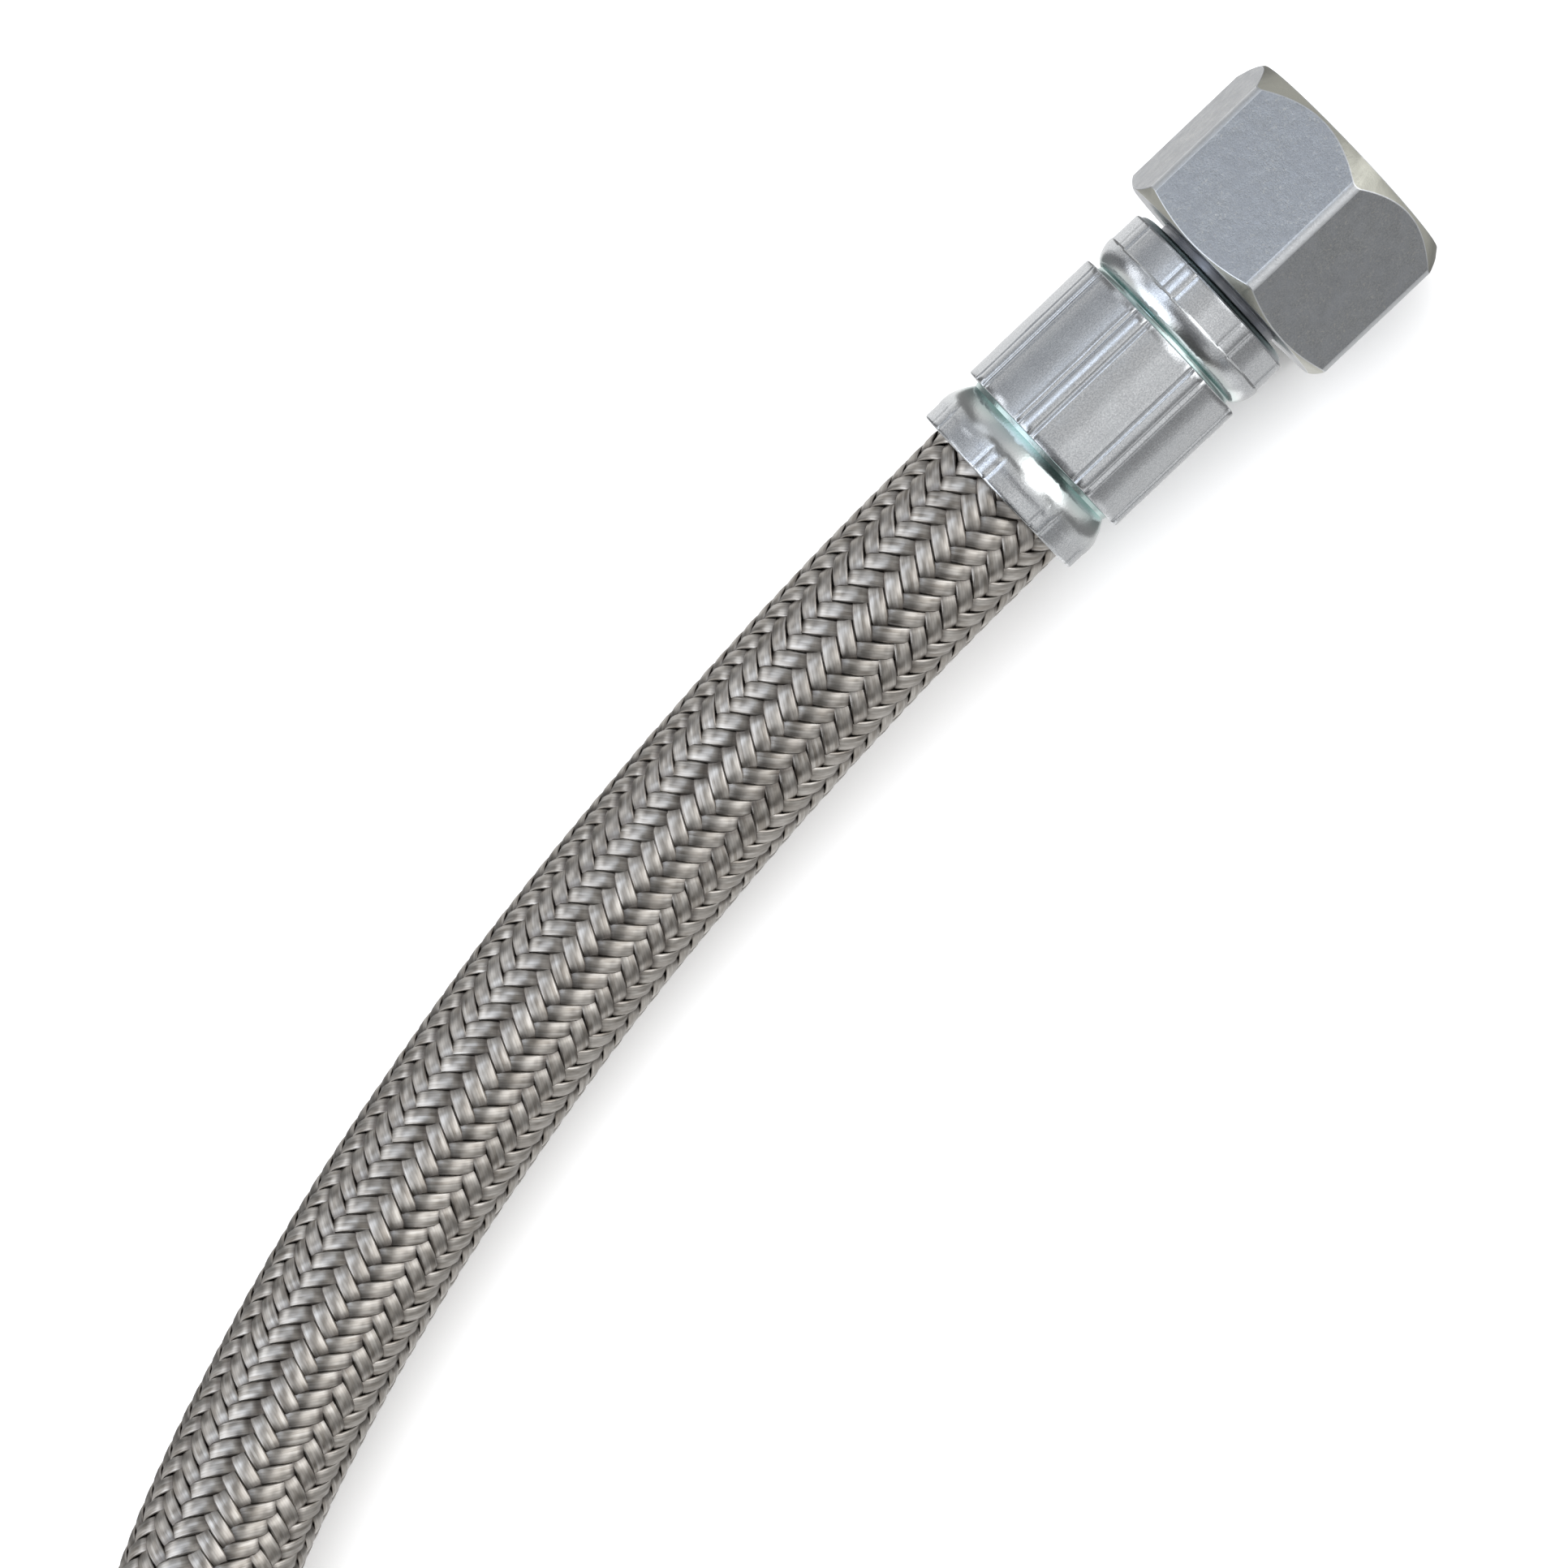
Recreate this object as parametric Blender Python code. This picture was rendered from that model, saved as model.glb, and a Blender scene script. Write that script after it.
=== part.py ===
"""A braided brake hose with the same crimped swivel fitting at both ends.

Frame: +Z up, the near fitting's axis runs along +X towards its mating port, and the origin is the centre of the
near nut's lower wrench flat, on the surface that the hose lies on. All sizes are in metres.
Each fitting is drawn about its own axis, with x = 0 at the middle of its nut.
"""
import math

import bmesh
import bpy
from mathutils import Vector

# General clearances
SEAT_GAP = 0.0003
RUNNING_GAP = 0.0003
FACET_ALLOWANCE = 0.00005
MERGE_DISTANCE = 1e-7

# Hose, from the outside in
HOSE_DIAMETER = 0.0130
BRAID_WALL = 0.0005
LINER_WALL = 0.00055
CRIMP_SQUEEZE = 0.94
HOSE_SIDES_RESOLUTION = 4
HOSE_SIDES = 4 + 2 * HOSE_SIDES_RESOLUTION
HOSE_STEP = 0.0108

# Swivel nut
NUT_ACROSS_FLATS = 0.0190
NUT_LENGTH = 0.0133
NUT_CORNER_BEVEL = 0.0005
NUT_FRONT_FACE_INSET = 0.00023
NUT_FRONT_CHAMFER_SLOPE = 1.24
NUT_REAR_FACE_INSET = 0.0001
NUT_REAR_CHAMFER_SLOPE = 0.58
THREAD_BORE_DIAMETER = 0.0145
NUT_MOUTH_COUNTERSINK = 0.0009
NUT_REAR_COUNTERSINK = 0.0003
NUT_BACK_WALL = 0.0034

# Nipple
NECK_DIAMETER = 0.0116
COLLAR_CLEARANCE = 0.00035
COLLAR_LENGTH = 0.0007
CONE_SHOULDER = 0.0006
CONE_HALF_ANGLE = math.radians(12.0)
CONE_LENGTH = 0.0037
NOSE_CHAMFER = 0.0004
BORE_COUNTERSINK = 0.0003
LOCK_GROOVE_DEPTH = 0.0012
LOCK_SHOULDER_LENGTH = 0.0013
LOCK_SHOULDER_DROP = 0.0003
BARB_COUNT = 4
BARB_PITCH = 0.0033
BARB_HEIGHT = 0.0004
TAIL_LEAD_IN = 0.0016
TAIL_WALL = 0.0006

# Seal ring on the cone
SEAL_SECTION_DIAMETER = 0.0014
SEAL_GROOVE_DEPTH = 0.0011
SEAL_GROOVE_OFFSET = 0.0008

# Ferrule, its lengths measured from the front rim (the end at the nut) to the rear rim
FERRULE_TO_NUT_GAP = 0.0012
FERRULE_RIM_WALL = 0.00103
FERRULE_GROOVE_WALL = 0.0004
FERRULE_LIP_THICKNESS = 0.0022
FERRULE_MOUTH_DEPTH = 0.0035
FERRULE_NOSE_LENGTH = 0.0006
FERRULE_NOSE_WALL = 0.00025
FRONT_BEAD_LENGTH = 0.0024
FRONT_SHOULDER_LENGTH = 0.0020
GROOVE_LENGTH = 0.0004
CRIMPED_LENGTH = 0.0120
REAR_SHOULDER_LENGTH = 0.0027
REAR_BEAD_LENGTH = 0.0016
PRESSED_STEP = 0.0001
RIM_ROUND = 0.0003

# Marks of the crimping jaws, turned from straight up towards -Y
JAW_COUNT = 8
RIB_ANGLE = math.radians(5.2)
RIB_WIDTH = 0.0013
RIB_HEIGHT = 0.00022
RIB_FLANK_SHARE = 0.8

# The hose's route, from the near ferrule's rear rim: x and y from the rim's centre, and the height, where 1 is
# the fitting's axis and 0 is a hose that lies on the surface. These points are chosen by hand.
ROUTE = (
    (-0.0128, -0.0003, 0.88),
    (-0.0248, -0.0007, 0.50),
    (-0.0372, -0.0016, 0.14),
    (-0.0494, -0.0032, 0.02),
    (-0.0614, -0.0056, 0.00),
    (-0.0731, -0.0085, 0.00),
    (-0.0846, -0.0122, 0.00),
    (-0.0967, -0.0172, 0.00),
    (-0.1080, -0.0237, 0.00),
    (-0.1180, -0.0321, 0.00),
    (-0.1261, -0.0423, 0.00),
    (-0.1320, -0.0540, 0.00),
    (-0.1355, -0.0666, 0.00),
    (-0.1364, -0.0796, 0.00),
    (-0.1346, -0.0926, 0.00),
    (-0.1306, -0.1049, 0.00),
    (-0.1242, -0.1163, 0.00),
    (-0.1158, -0.1261, 0.00),
    (-0.1056, -0.1341, 0.00),
    (-0.0940, -0.1400, 0.00),
    (-0.0816, -0.1439, 0.00),
    (-0.0688, -0.1462, 0.02),
    (-0.0559, -0.1472, 0.18),
    (-0.0446, -0.1475, 0.53),
    (-0.0337, -0.1475, 0.88),
)
FAR_RIM_X = -0.0229
FAR_RIM_Y = -0.1475

# Facets round each turned form
NUT_SIDES = 48
BORE_SIDES = 40
NIPPLE_SIDES = 22
SEAL_SIDES = 26
SEAL_SECTION_SIDES = 6
ROUND_STEPS = 4
ELLIPSE_FALL = 1.0
PARABOLA_FALL = 2.0
ROUTE_CHORDS = 24

# Edges sharper than these are shaded sharp
SHARP_ANGLE = math.radians(35)
NUT_SHARP_ANGLE = math.radians(20)

# Sizes worked out from the ones above
HOSE_RADIUS = HOSE_DIAMETER / 2
FLAT_OF_HOSE = math.cos(math.pi / HOSE_SIDES)
LINER_RADIUS = HOSE_RADIUS - BRAID_WALL - SEAT_GAP / FLAT_OF_HOSE
LINER_BORE_RADIUS = LINER_RADIUS - LINER_WALL
BARB_RADIUS = LINER_BORE_RADIUS * CRIMP_SQUEEZE * FLAT_OF_HOSE - SEAT_GAP
TAIL_RADIUS = BARB_RADIUS - BARB_HEIGHT
FLUID_BORE_RADIUS = TAIL_RADIUS - TAIL_WALL

FERRULE_BORE_RADIUS = HOSE_RADIUS * CRIMP_SQUEEZE + SEAT_GAP + FACET_ALLOWANCE
FERRULE_MOUTH_RADIUS = HOSE_RADIUS + SEAT_GAP + FACET_ALLOWANCE
FERRULE_RADIUS = FERRULE_MOUTH_RADIUS + FERRULE_RIM_WALL
GROOVE_RADIUS = FERRULE_BORE_RADIUS + FERRULE_GROOVE_WALL

AXIS_HEIGHT = NUT_ACROSS_FLATS / 2
NUT_FRONT = NUT_LENGTH / 2
NUT_REAR = -NUT_LENGTH / 2
NUT_CORNER_RADIUS = NUT_ACROSS_FLATS / 2 / math.cos(math.pi / 6)
THREAD_RADIUS = THREAD_BORE_DIAMETER / 2
NECK_RADIUS = NECK_DIAMETER / 2
NUT_BACK_RADIUS = NECK_RADIUS + RUNNING_GAP
COLLAR_RADIUS = THREAD_RADIUS - COLLAR_CLEARANCE
LOCK_RADIUS = NECK_RADIUS - LOCK_GROOVE_DEPTH
LIP_RADIUS = LOCK_RADIUS + SEAT_GAP

# The nut pulls on the collar's back, where both slope at 45 degrees
SEAT_FOOT = NUT_REAR + NUT_BACK_WALL
SEAT_HEAD = SEAT_FOOT + THREAD_RADIUS - NUT_BACK_RADIUS
COLLAR_FOOT = SEAT_FOOT - (NUT_BACK_RADIUS - NECK_RADIUS) + RUNNING_GAP * math.sqrt(2)
COLLAR_BACK = COLLAR_FOOT + COLLAR_RADIUS - NECK_RADIUS
CONE_START = COLLAR_BACK + COLLAR_LENGTH
NOSE_FRONT = CONE_START + CONE_LENGTH

FERRULE_FRONT = NUT_REAR - FERRULE_TO_NUT_GAP
FERRULE_LENGTH = (FRONT_BEAD_LENGTH + PRESSED_STEP + FRONT_SHOULDER_LENGTH + GROOVE_LENGTH + CRIMPED_LENGTH
                  + GROOVE_LENGTH + REAR_SHOULDER_LENGTH + REAR_BEAD_LENGTH)
FERRULE_REAR = FERRULE_FRONT - FERRULE_LENGTH
LIP_BACK = FERRULE_FRONT - FERRULE_LIP_THICKNESS
NECK_END = FERRULE_FRONT + SEAT_GAP
LOCK_SHOULDER_FRONT = LIP_BACK - SEAT_GAP
LOCK_SHOULDER_BACK = LOCK_SHOULDER_FRONT - LOCK_SHOULDER_LENGTH
HOSE_END = LOCK_SHOULDER_BACK - SEAT_GAP
MOUTH_START = FERRULE_REAR + FERRULE_MOUTH_DEPTH


def clear_scene():
    """Remove every object that the scene starts with."""
    for old in list(bpy.data.objects):
        bpy.data.objects.remove(old, do_unlink=True)


def make_material(name, colour, roughness, metallic):
    """A Principled BSDF material."""
    material = bpy.data.materials.new(name)
    material.use_nodes = True
    shader = material.node_tree.nodes["Principled BSDF"]
    shader.inputs["Base Color"].default_value = (*colour, 1.0)
    shader.inputs["Roughness"].default_value = roughness
    shader.inputs["Metallic"].default_value = metallic
    return material


def mesh_from(shape, name):
    """Close a bmesh into a mesh whose faces point out and whose round parts are shaded smooth."""
    bmesh.ops.recalc_face_normals(shape, faces=shape.faces)
    mesh = bpy.data.meshes.new(name)
    shape.to_mesh(mesh)
    shape.free()
    mesh.shade_smooth()
    mesh.set_sharp_from_angle(angle=SHARP_ANGLE)
    return mesh


def turned_mesh(name, profile, sides):
    """Turn a closed profile of (x, radius) points about the X axis."""
    shape = bmesh.new()
    corners = [shape.verts.new((x, 0.0, radius)) for x, radius in profile]
    edges = [shape.edges.new(pair) for pair in zip(corners, corners[1:] + corners[:1])]
    bmesh.ops.spin(shape, geom=corners + edges, axis=(1, 0, 0), cent=(0, 0, 0), angle=math.tau, steps=sides,
                   use_merge=True)
    bmesh.ops.remove_doubles(shape, verts=shape.verts, dist=MERGE_DISTANCE)
    flat_edges = [edge for edge in shape.edges if not edge.link_faces]
    bmesh.ops.delete(shape, geom=flat_edges, context="EDGES")
    return mesh_from(shape, name)


def lofted_mesh(name, rings):
    """Join closed rings of equal counts one after another, and the last to the first."""
    shape = bmesh.new()
    loops = [[shape.verts.new(point) for point in ring] for ring in rings]
    for near, far in zip(loops, loops[1:] + loops[:1]):
        for at in range(len(near)):
            after = (at + 1) % len(near)
            shape.faces.new((near[at], near[after], far[after], far[at]))
    return mesh_from(shape, name)


def shoulder(x_from, r_from, x_to, r_to, fall):
    """Points from a bead down to a groove, leaving the bead level: fall 1 is an ellipse and 2 a parabola."""
    points = []
    for step in range(ROUND_STEPS + 1):
        turn = math.pi / 2 * step / ROUND_STEPS
        x = x_from + (x_to - x_from) * math.sin(turn)
        radius = r_to + (r_from - r_to) * math.cos(turn) ** fall
        points.append((x, radius))
    return points


def as_tool(mesh):
    """A cutter or envelope object that takes part in a Boolean and isn't a piece itself."""
    tool = bpy.data.objects.new(mesh.name, mesh)
    tool.hide_render = True
    tool.display_type = "WIRE"
    bpy.context.collection.objects.link(tool)
    return tool


def nut_mesh():
    """Hexagonal bar, turned to a chamfer at both ends, then bored and countersunk."""
    overrun = NUT_MOUTH_COUNTERSINK + NUT_REAR_COUNTERSINK
    reach = NUT_CORNER_RADIUS + overrun
    front_face = NUT_ACROSS_FLATS / 2 - NUT_FRONT_FACE_INSET
    rear_face = NUT_ACROSS_FLATS / 2 - NUT_REAR_FACE_INSET

    bar = bmesh.new()
    corners = []
    for corner in range(6):
        turn = math.tau * corner / 6
        corners.append(bar.verts.new((NUT_REAR - overrun, NUT_CORNER_RADIUS * math.cos(turn),
                                      NUT_CORNER_RADIUS * math.sin(turn))))
    end_face = bar.faces.new(corners)
    swept = bmesh.ops.extrude_face_region(bar, geom=[end_face])
    top = [item for item in swept["geom"] if isinstance(item, bmesh.types.BMVert)]
    bmesh.ops.translate(bar, verts=top, vec=(NUT_LENGTH + 2 * overrun, 0, 0))
    long_edges = [edge for edge in bar.edges
                  if abs(edge.verts[0].co.x - edge.verts[1].co.x) > NUT_LENGTH]
    bmesh.ops.bevel(bar, geom=long_edges, offset=NUT_CORNER_BEVEL, segments=2, profile=0.5, affect="EDGES")
    nut = bpy.data.objects.new("nut_bar", mesh_from(bar, "nut_bar"))
    bpy.context.collection.objects.link(nut)

    envelope = as_tool(turned_mesh("nut_envelope", [
        (NUT_FRONT, 0.0),
        (NUT_FRONT, front_face),
        (NUT_FRONT - NUT_FRONT_CHAMFER_SLOPE * (reach - front_face), reach),
        (NUT_REAR + NUT_REAR_CHAMFER_SLOPE * (reach - rear_face), reach),
        (NUT_REAR, rear_face),
        (NUT_REAR, 0.0),
    ], NUT_SIDES))
    cutter = as_tool(turned_mesh("nut_bore", [
        (NUT_FRONT + overrun, 0.0),
        (NUT_FRONT + overrun, THREAD_RADIUS + NUT_MOUTH_COUNTERSINK + overrun),
        (NUT_FRONT - NUT_MOUTH_COUNTERSINK, THREAD_RADIUS),
        (SEAT_HEAD, THREAD_RADIUS),
        (SEAT_FOOT, NUT_BACK_RADIUS),
        (NUT_REAR + NUT_REAR_COUNTERSINK, NUT_BACK_RADIUS),
        (NUT_REAR - overrun, NUT_BACK_RADIUS + NUT_REAR_COUNTERSINK + overrun),
        (NUT_REAR - overrun, 0.0),
    ], BORE_SIDES))
    for tool, operation in ((envelope, "INTERSECT"), (cutter, "DIFFERENCE")):
        step = nut.modifiers.new(tool.name, "BOOLEAN")
        step.solver = "EXACT"
        step.operation = operation
        step.object = tool

    finished = nut.evaluated_get(bpy.context.evaluated_depsgraph_get())
    mesh = bpy.data.meshes.new_from_object(finished)
    mesh.name = "swivel_nut"
    for used in (nut, envelope, cutter):
        bpy.data.objects.remove(used, do_unlink=True)
    mesh.shade_smooth()
    mesh.set_sharp_from_angle(angle=NUT_SHARP_ANGLE)
    return mesh


def seal_groove():
    """Middle, half width, and bottom radius of the seal ring's groove in the cone."""
    middle = CONE_START + SEAL_GROOVE_OFFSET + SEAL_SECTION_DIAMETER / 2 + SEAT_GAP
    half_width = SEAL_SECTION_DIAMETER / 2 + SEAT_GAP
    bottom = cone_radius(middle) - SEAL_GROOVE_DEPTH
    return middle, half_width, bottom


def cone_radius(x):
    """Radius of the sealing cone at x."""
    return COLLAR_RADIUS - CONE_SHOULDER - (x - CONE_START) * math.tan(CONE_HALF_ANGLE)


def nipple_mesh():
    """Turned insert: sealing cone, collar, neck, lock groove, shoulder and barbed tail, bored through."""
    groove_middle, groove_half, groove_bottom = seal_groove()
    shoulder_radius = NECK_RADIUS - LOCK_SHOULDER_DROP
    outside = [
        (NOSE_FRONT, cone_radius(NOSE_FRONT) - NOSE_CHAMFER),
        (NOSE_FRONT - NOSE_CHAMFER, cone_radius(NOSE_FRONT - NOSE_CHAMFER)),
        (groove_middle + groove_half, cone_radius(groove_middle + groove_half)),
        (groove_middle + groove_half, groove_bottom),
        (groove_middle - groove_half, groove_bottom),
        (groove_middle - groove_half, cone_radius(groove_middle - groove_half)),
        (CONE_START, cone_radius(CONE_START)),
        (CONE_START, COLLAR_RADIUS),
        (COLLAR_BACK, COLLAR_RADIUS),
        (COLLAR_FOOT, NECK_RADIUS),
        (NECK_END, NECK_RADIUS),
        (NECK_END, LOCK_RADIUS),
        (LOCK_SHOULDER_FRONT, LOCK_RADIUS),
        (LOCK_SHOULDER_FRONT, shoulder_radius),
        (LOCK_SHOULDER_BACK, shoulder_radius),
        (LOCK_SHOULDER_BACK, TAIL_RADIUS),
    ]
    for barb in range(BARB_COUNT):
        crest = LOCK_SHOULDER_BACK - (barb + 0.5) * BARB_PITCH
        outside.append((crest, TAIL_RADIUS))
        outside.append((crest, BARB_RADIUS))
        outside.append((crest - BARB_PITCH / 2, TAIL_RADIUS))
    tail_end = LOCK_SHOULDER_BACK - BARB_COUNT * BARB_PITCH - TAIL_LEAD_IN
    tail_tip = (TAIL_RADIUS + FLUID_BORE_RADIUS) / 2
    inside = [
        (tail_end, tail_tip),
        (tail_end, FLUID_BORE_RADIUS + BORE_COUNTERSINK / 2),
        (tail_end + BORE_COUNTERSINK, FLUID_BORE_RADIUS),
        (NOSE_FRONT - BORE_COUNTERSINK, FLUID_BORE_RADIUS),
        (NOSE_FRONT, FLUID_BORE_RADIUS + BORE_COUNTERSINK),
    ]
    return turned_mesh("nipple", outside + inside, NIPPLE_SIDES)


def seal_mesh():
    """Round-section ring that sits in the cone's groove."""
    middle, _, bottom = seal_groove()
    section = SEAL_SECTION_DIAMETER / 2
    ring_radius = bottom + SEAT_GAP + section
    profile = []
    for side in range(SEAL_SECTION_SIDES):
        turn = math.tau * side / SEAL_SECTION_SIDES
        profile.append((middle + section * math.sin(turn), ring_radius + section * math.cos(turn)))
    return turned_mesh("seal_ring", profile, SEAL_SIDES)


def jaw_angles():
    """Angles round the ferrule, closer together at the ribs that the crimping jaws leave between them."""
    half_rib = RIB_WIDTH / 2 / FERRULE_RADIUS
    pitch = math.tau / JAW_COUNT
    angles = []
    for jaw in range(JAW_COUNT):
        rib = RIB_ANGLE + jaw * pitch
        plain_start = rib + 2 * half_rib
        plain = pitch - 4 * half_rib
        angles += [rib - 2 * half_rib, rib - half_rib, rib, rib + half_rib, plain_start]
        angles.append(plain_start + plain / 2)
    return angles


def rib_share(angle):
    """How far an angle's point stands on a rib: 1 on its crest, 0 clear of it."""
    pitch = math.tau / JAW_COUNT
    off = abs((angle - RIB_ANGLE + pitch / 2) % pitch - pitch / 2)
    half_rib = RIB_WIDTH / 2 / FERRULE_RADIUS
    on_crest = off < half_rib / 2
    on_flank = off < half_rib * 3 / 2
    return 1.0 if on_crest else RIB_FLANK_SHARE if on_flank else 0.0


def ferrule_stations():
    """The ferrule's outline as (x, radius, rib height), from the front rim back to the rear rim."""
    step_end = FERRULE_FRONT - FRONT_BEAD_LENGTH
    groove_start = step_end - PRESSED_STEP - FRONT_SHOULDER_LENGTH
    crimp_start = groove_start - GROOVE_LENGTH
    crimp_end = crimp_start - CRIMPED_LENGTH
    rear_groove = crimp_end - GROOVE_LENGTH
    rear_step = FERRULE_REAR + REAR_BEAD_LENGTH
    pressed = FERRULE_RADIUS - PRESSED_STEP
    outline = [
        (FERRULE_FRONT, pressed - RIM_ROUND, 0.0),
        (FERRULE_FRONT - RIM_ROUND, pressed, PRESSED_STEP),
        (step_end, pressed, PRESSED_STEP),
    ]
    for x, radius in shoulder(step_end - PRESSED_STEP, FERRULE_RADIUS, groove_start, GROOVE_RADIUS, ELLIPSE_FALL):
        outline.append((x, radius, 0.0))
    outline += [
        (crimp_start, GROOVE_RADIUS, 0.0),
        (crimp_start - RIM_ROUND, FERRULE_RADIUS - RIM_ROUND / 2, RIB_HEIGHT / 2),
        (crimp_start - 2 * RIM_ROUND, FERRULE_RADIUS, RIB_HEIGHT),
        (crimp_end + 2 * RIM_ROUND, FERRULE_RADIUS, RIB_HEIGHT),
        (crimp_end + RIM_ROUND, FERRULE_RADIUS - RIM_ROUND / 2, RIB_HEIGHT / 2),
        (crimp_end, GROOVE_RADIUS, 0.0),
    ]
    for x, radius in reversed(shoulder(rear_step + PRESSED_STEP, FERRULE_RADIUS, rear_groove, GROOVE_RADIUS,
                                       PARABOLA_FALL)):
        outline.append((x, radius, 0.0))
    outline += [
        (rear_step, pressed, PRESSED_STEP),
        (FERRULE_REAR + RIM_ROUND, pressed, PRESSED_STEP),
        (FERRULE_REAR, pressed - RIM_ROUND, 0.0),
    ]
    return outline


def ferrule_mesh():
    """Crimped socket: jaw-marked outside, bored for the hose, with a lip that locks into the nipple's groove.

    Its front end slopes in to the nipple's neck, which stands in a recess there.
    """
    angles = jaw_angles()

    def ring(x, radius, rib=0.0):
        points = []
        for angle in angles:
            reach = radius + rib * rib_share(angle)
            points.append(Vector((x, -reach * math.sin(angle), reach * math.cos(angle))))
        return points

    nose_tip = FERRULE_FRONT + FERRULE_NOSE_LENGTH
    rings = [ring(nose_tip, NUT_BACK_RADIUS + FERRULE_NOSE_WALL)]
    rings += [ring(*station) for station in ferrule_stations()]
    rings += [
        ring(FERRULE_REAR, FERRULE_MOUTH_RADIUS),
        ring(MOUTH_START, FERRULE_BORE_RADIUS),
        ring(LIP_BACK, FERRULE_BORE_RADIUS),
        ring(LIP_BACK, LIP_RADIUS),
        ring(FERRULE_FRONT, LIP_RADIUS),
        ring(FERRULE_FRONT, NUT_BACK_RADIUS),
        ring(nose_tip, NUT_BACK_RADIUS),
    ]
    return lofted_mesh("ferrule", rings)


def smooth_curve(points):
    """Catmull-Rom curve through the points, as many short chords."""
    padded = [points[0] * 2 - points[1], *points, points[-1] * 2 - points[-2]]
    curve = []
    for before, start, end, after in zip(padded, padded[1:], padded[2:], padded[3:]):
        for step in range(ROUTE_CHORDS):
            t = step / ROUTE_CHORDS
            curve.append(0.5 * (2 * start + (end - before) * t
                                + (2 * before - 5 * start + 4 * end - after) * t ** 2
                                + (3 * start - 3 * end + after - before) * t ** 3))
    curve.append(points[-1])
    return curve


def evenly(curve, step):
    """Points of a curve at even distances, its two ends among them."""
    lengths = [0.0]
    for start, end in zip(curve, curve[1:]):
        lengths.append(lengths[-1] + (end - start).length)
    count = max(2, round(lengths[-1] / step))
    points = []
    at = 0
    for number in range(count + 1):
        wanted = lengths[-1] * number / count
        while at < len(curve) - 2 and lengths[at + 1] < wanted:
            at += 1
        share = (wanted - lengths[at]) / (lengths[at + 1] - lengths[at])
        points.append(curve[at].lerp(curve[at + 1], share))
    return points


def hose_points():
    """Points of the hose's centre line, each with its width as a share of the free hose's."""
    def placed(x, y, height):
        return Vector((FERRULE_REAR + x, y, HOSE_RADIUS + height * (AXIS_HEIGHT - HOSE_RADIUS)))

    into_fitting = HOSE_END - FERRULE_REAR
    near_end = placed(into_fitting, 0.0, 1.0)
    near_crimp = placed(FERRULE_MOUTH_DEPTH, 0.0, 1.0)
    near_rim = placed(0.0, 0.0, 1.0)
    far_rim = placed(FAR_RIM_X, FAR_RIM_Y, 1.0)
    far_crimp = far_rim + Vector((FERRULE_MOUTH_DEPTH, 0.0, 0.0))
    far_end = far_rim + Vector((into_fitting, 0.0, 0.0))
    free = smooth_curve([near_rim, *(placed(*point) for point in ROUTE), far_rim])
    line = [(near_end, CRIMP_SQUEEZE), (near_crimp, CRIMP_SQUEEZE)]
    line += [(point, 1.0) for point in evenly(free, HOSE_STEP)]
    line += [(far_crimp, CRIMP_SQUEEZE), (far_end, CRIMP_SQUEEZE)]
    return line


def make_tube(name, radius, wall, material):
    """A hollow tube along the hose's centre line, open at both ends."""
    curve = bpy.data.curves.new(name, "CURVE")
    curve.dimensions = "3D"
    curve.bevel_depth = radius
    curve.bevel_resolution = HOSE_SIDES_RESOLUTION
    line = hose_points()
    spline = curve.splines.new("POLY")
    spline.points.add(len(line) - 1)
    for knot, (point, width) in zip(spline.points, line):
        knot.co = (*point, 1.0)
        knot.radius = width
    curve.materials.append(material)
    tube = bpy.data.objects.new(name, curve)
    shell = tube.modifiers.new("wall", "SOLIDIFY")
    shell.thickness = wall
    shell.offset = -1.0
    shell.use_even_offset = True
    bpy.context.collection.objects.link(tube)
    return tube


def add_piece(name, mesh, material, fitting):
    """Place a piece of a fitting, its origin on the fitting's axis."""
    if not mesh.materials:
        mesh.materials.append(material)
    piece = bpy.data.objects.new(name, mesh)
    piece.parent = fitting
    bpy.context.collection.objects.link(piece)
    return piece


def build():
    """Make both fittings and the hose between them."""
    clear_scene()
    zinc_nut = make_material("zinc_nut", (0.56, 0.57, 0.58), 0.38, 1.0)
    zinc_ferrule = make_material("zinc_ferrule", (0.60, 0.62, 0.63), 0.30, 1.0)
    nipple_steel = make_material("nipple_steel", (0.42, 0.43, 0.44), 0.35, 1.0)
    seal_rubber = make_material("seal_rubber", (0.02, 0.02, 0.02), 0.60, 0.0)
    liner_plastic = make_material("liner_plastic", (0.80, 0.79, 0.75), 0.45, 0.0)
    stainless_braid = make_material("stainless_braid", (0.55, 0.53, 0.49), 0.32, 1.0)

    pieces = (
        ("swivel_nut", nut_mesh(), zinc_nut),
        ("nipple", nipple_mesh(), nipple_steel),
        ("seal_ring", seal_mesh(), seal_rubber),
        ("ferrule", ferrule_mesh(), zinc_ferrule),
    )
    places = (
        ("near", (0.0, 0.0, AXIS_HEIGHT)),
        ("far", (FAR_RIM_X, FAR_RIM_Y, AXIS_HEIGHT)),
    )
    for end, place in places:
        fitting = bpy.data.objects.new(f"{end}_fitting", None)
        fitting.location = place
        bpy.context.collection.objects.link(fitting)
        for name, mesh, material in pieces:
            add_piece(f"{end}_{name}", mesh, material, fitting)

    make_tube("hose_liner", LINER_RADIUS, LINER_WALL, liner_plastic)
    make_tube("hose_braid", HOSE_RADIUS, BRAID_WALL, stainless_braid)


build()
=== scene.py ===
import math

import bmesh
import bpy
from mathutils import Matrix, Vector
from mathutils.noise import noise as noise_from


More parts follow.
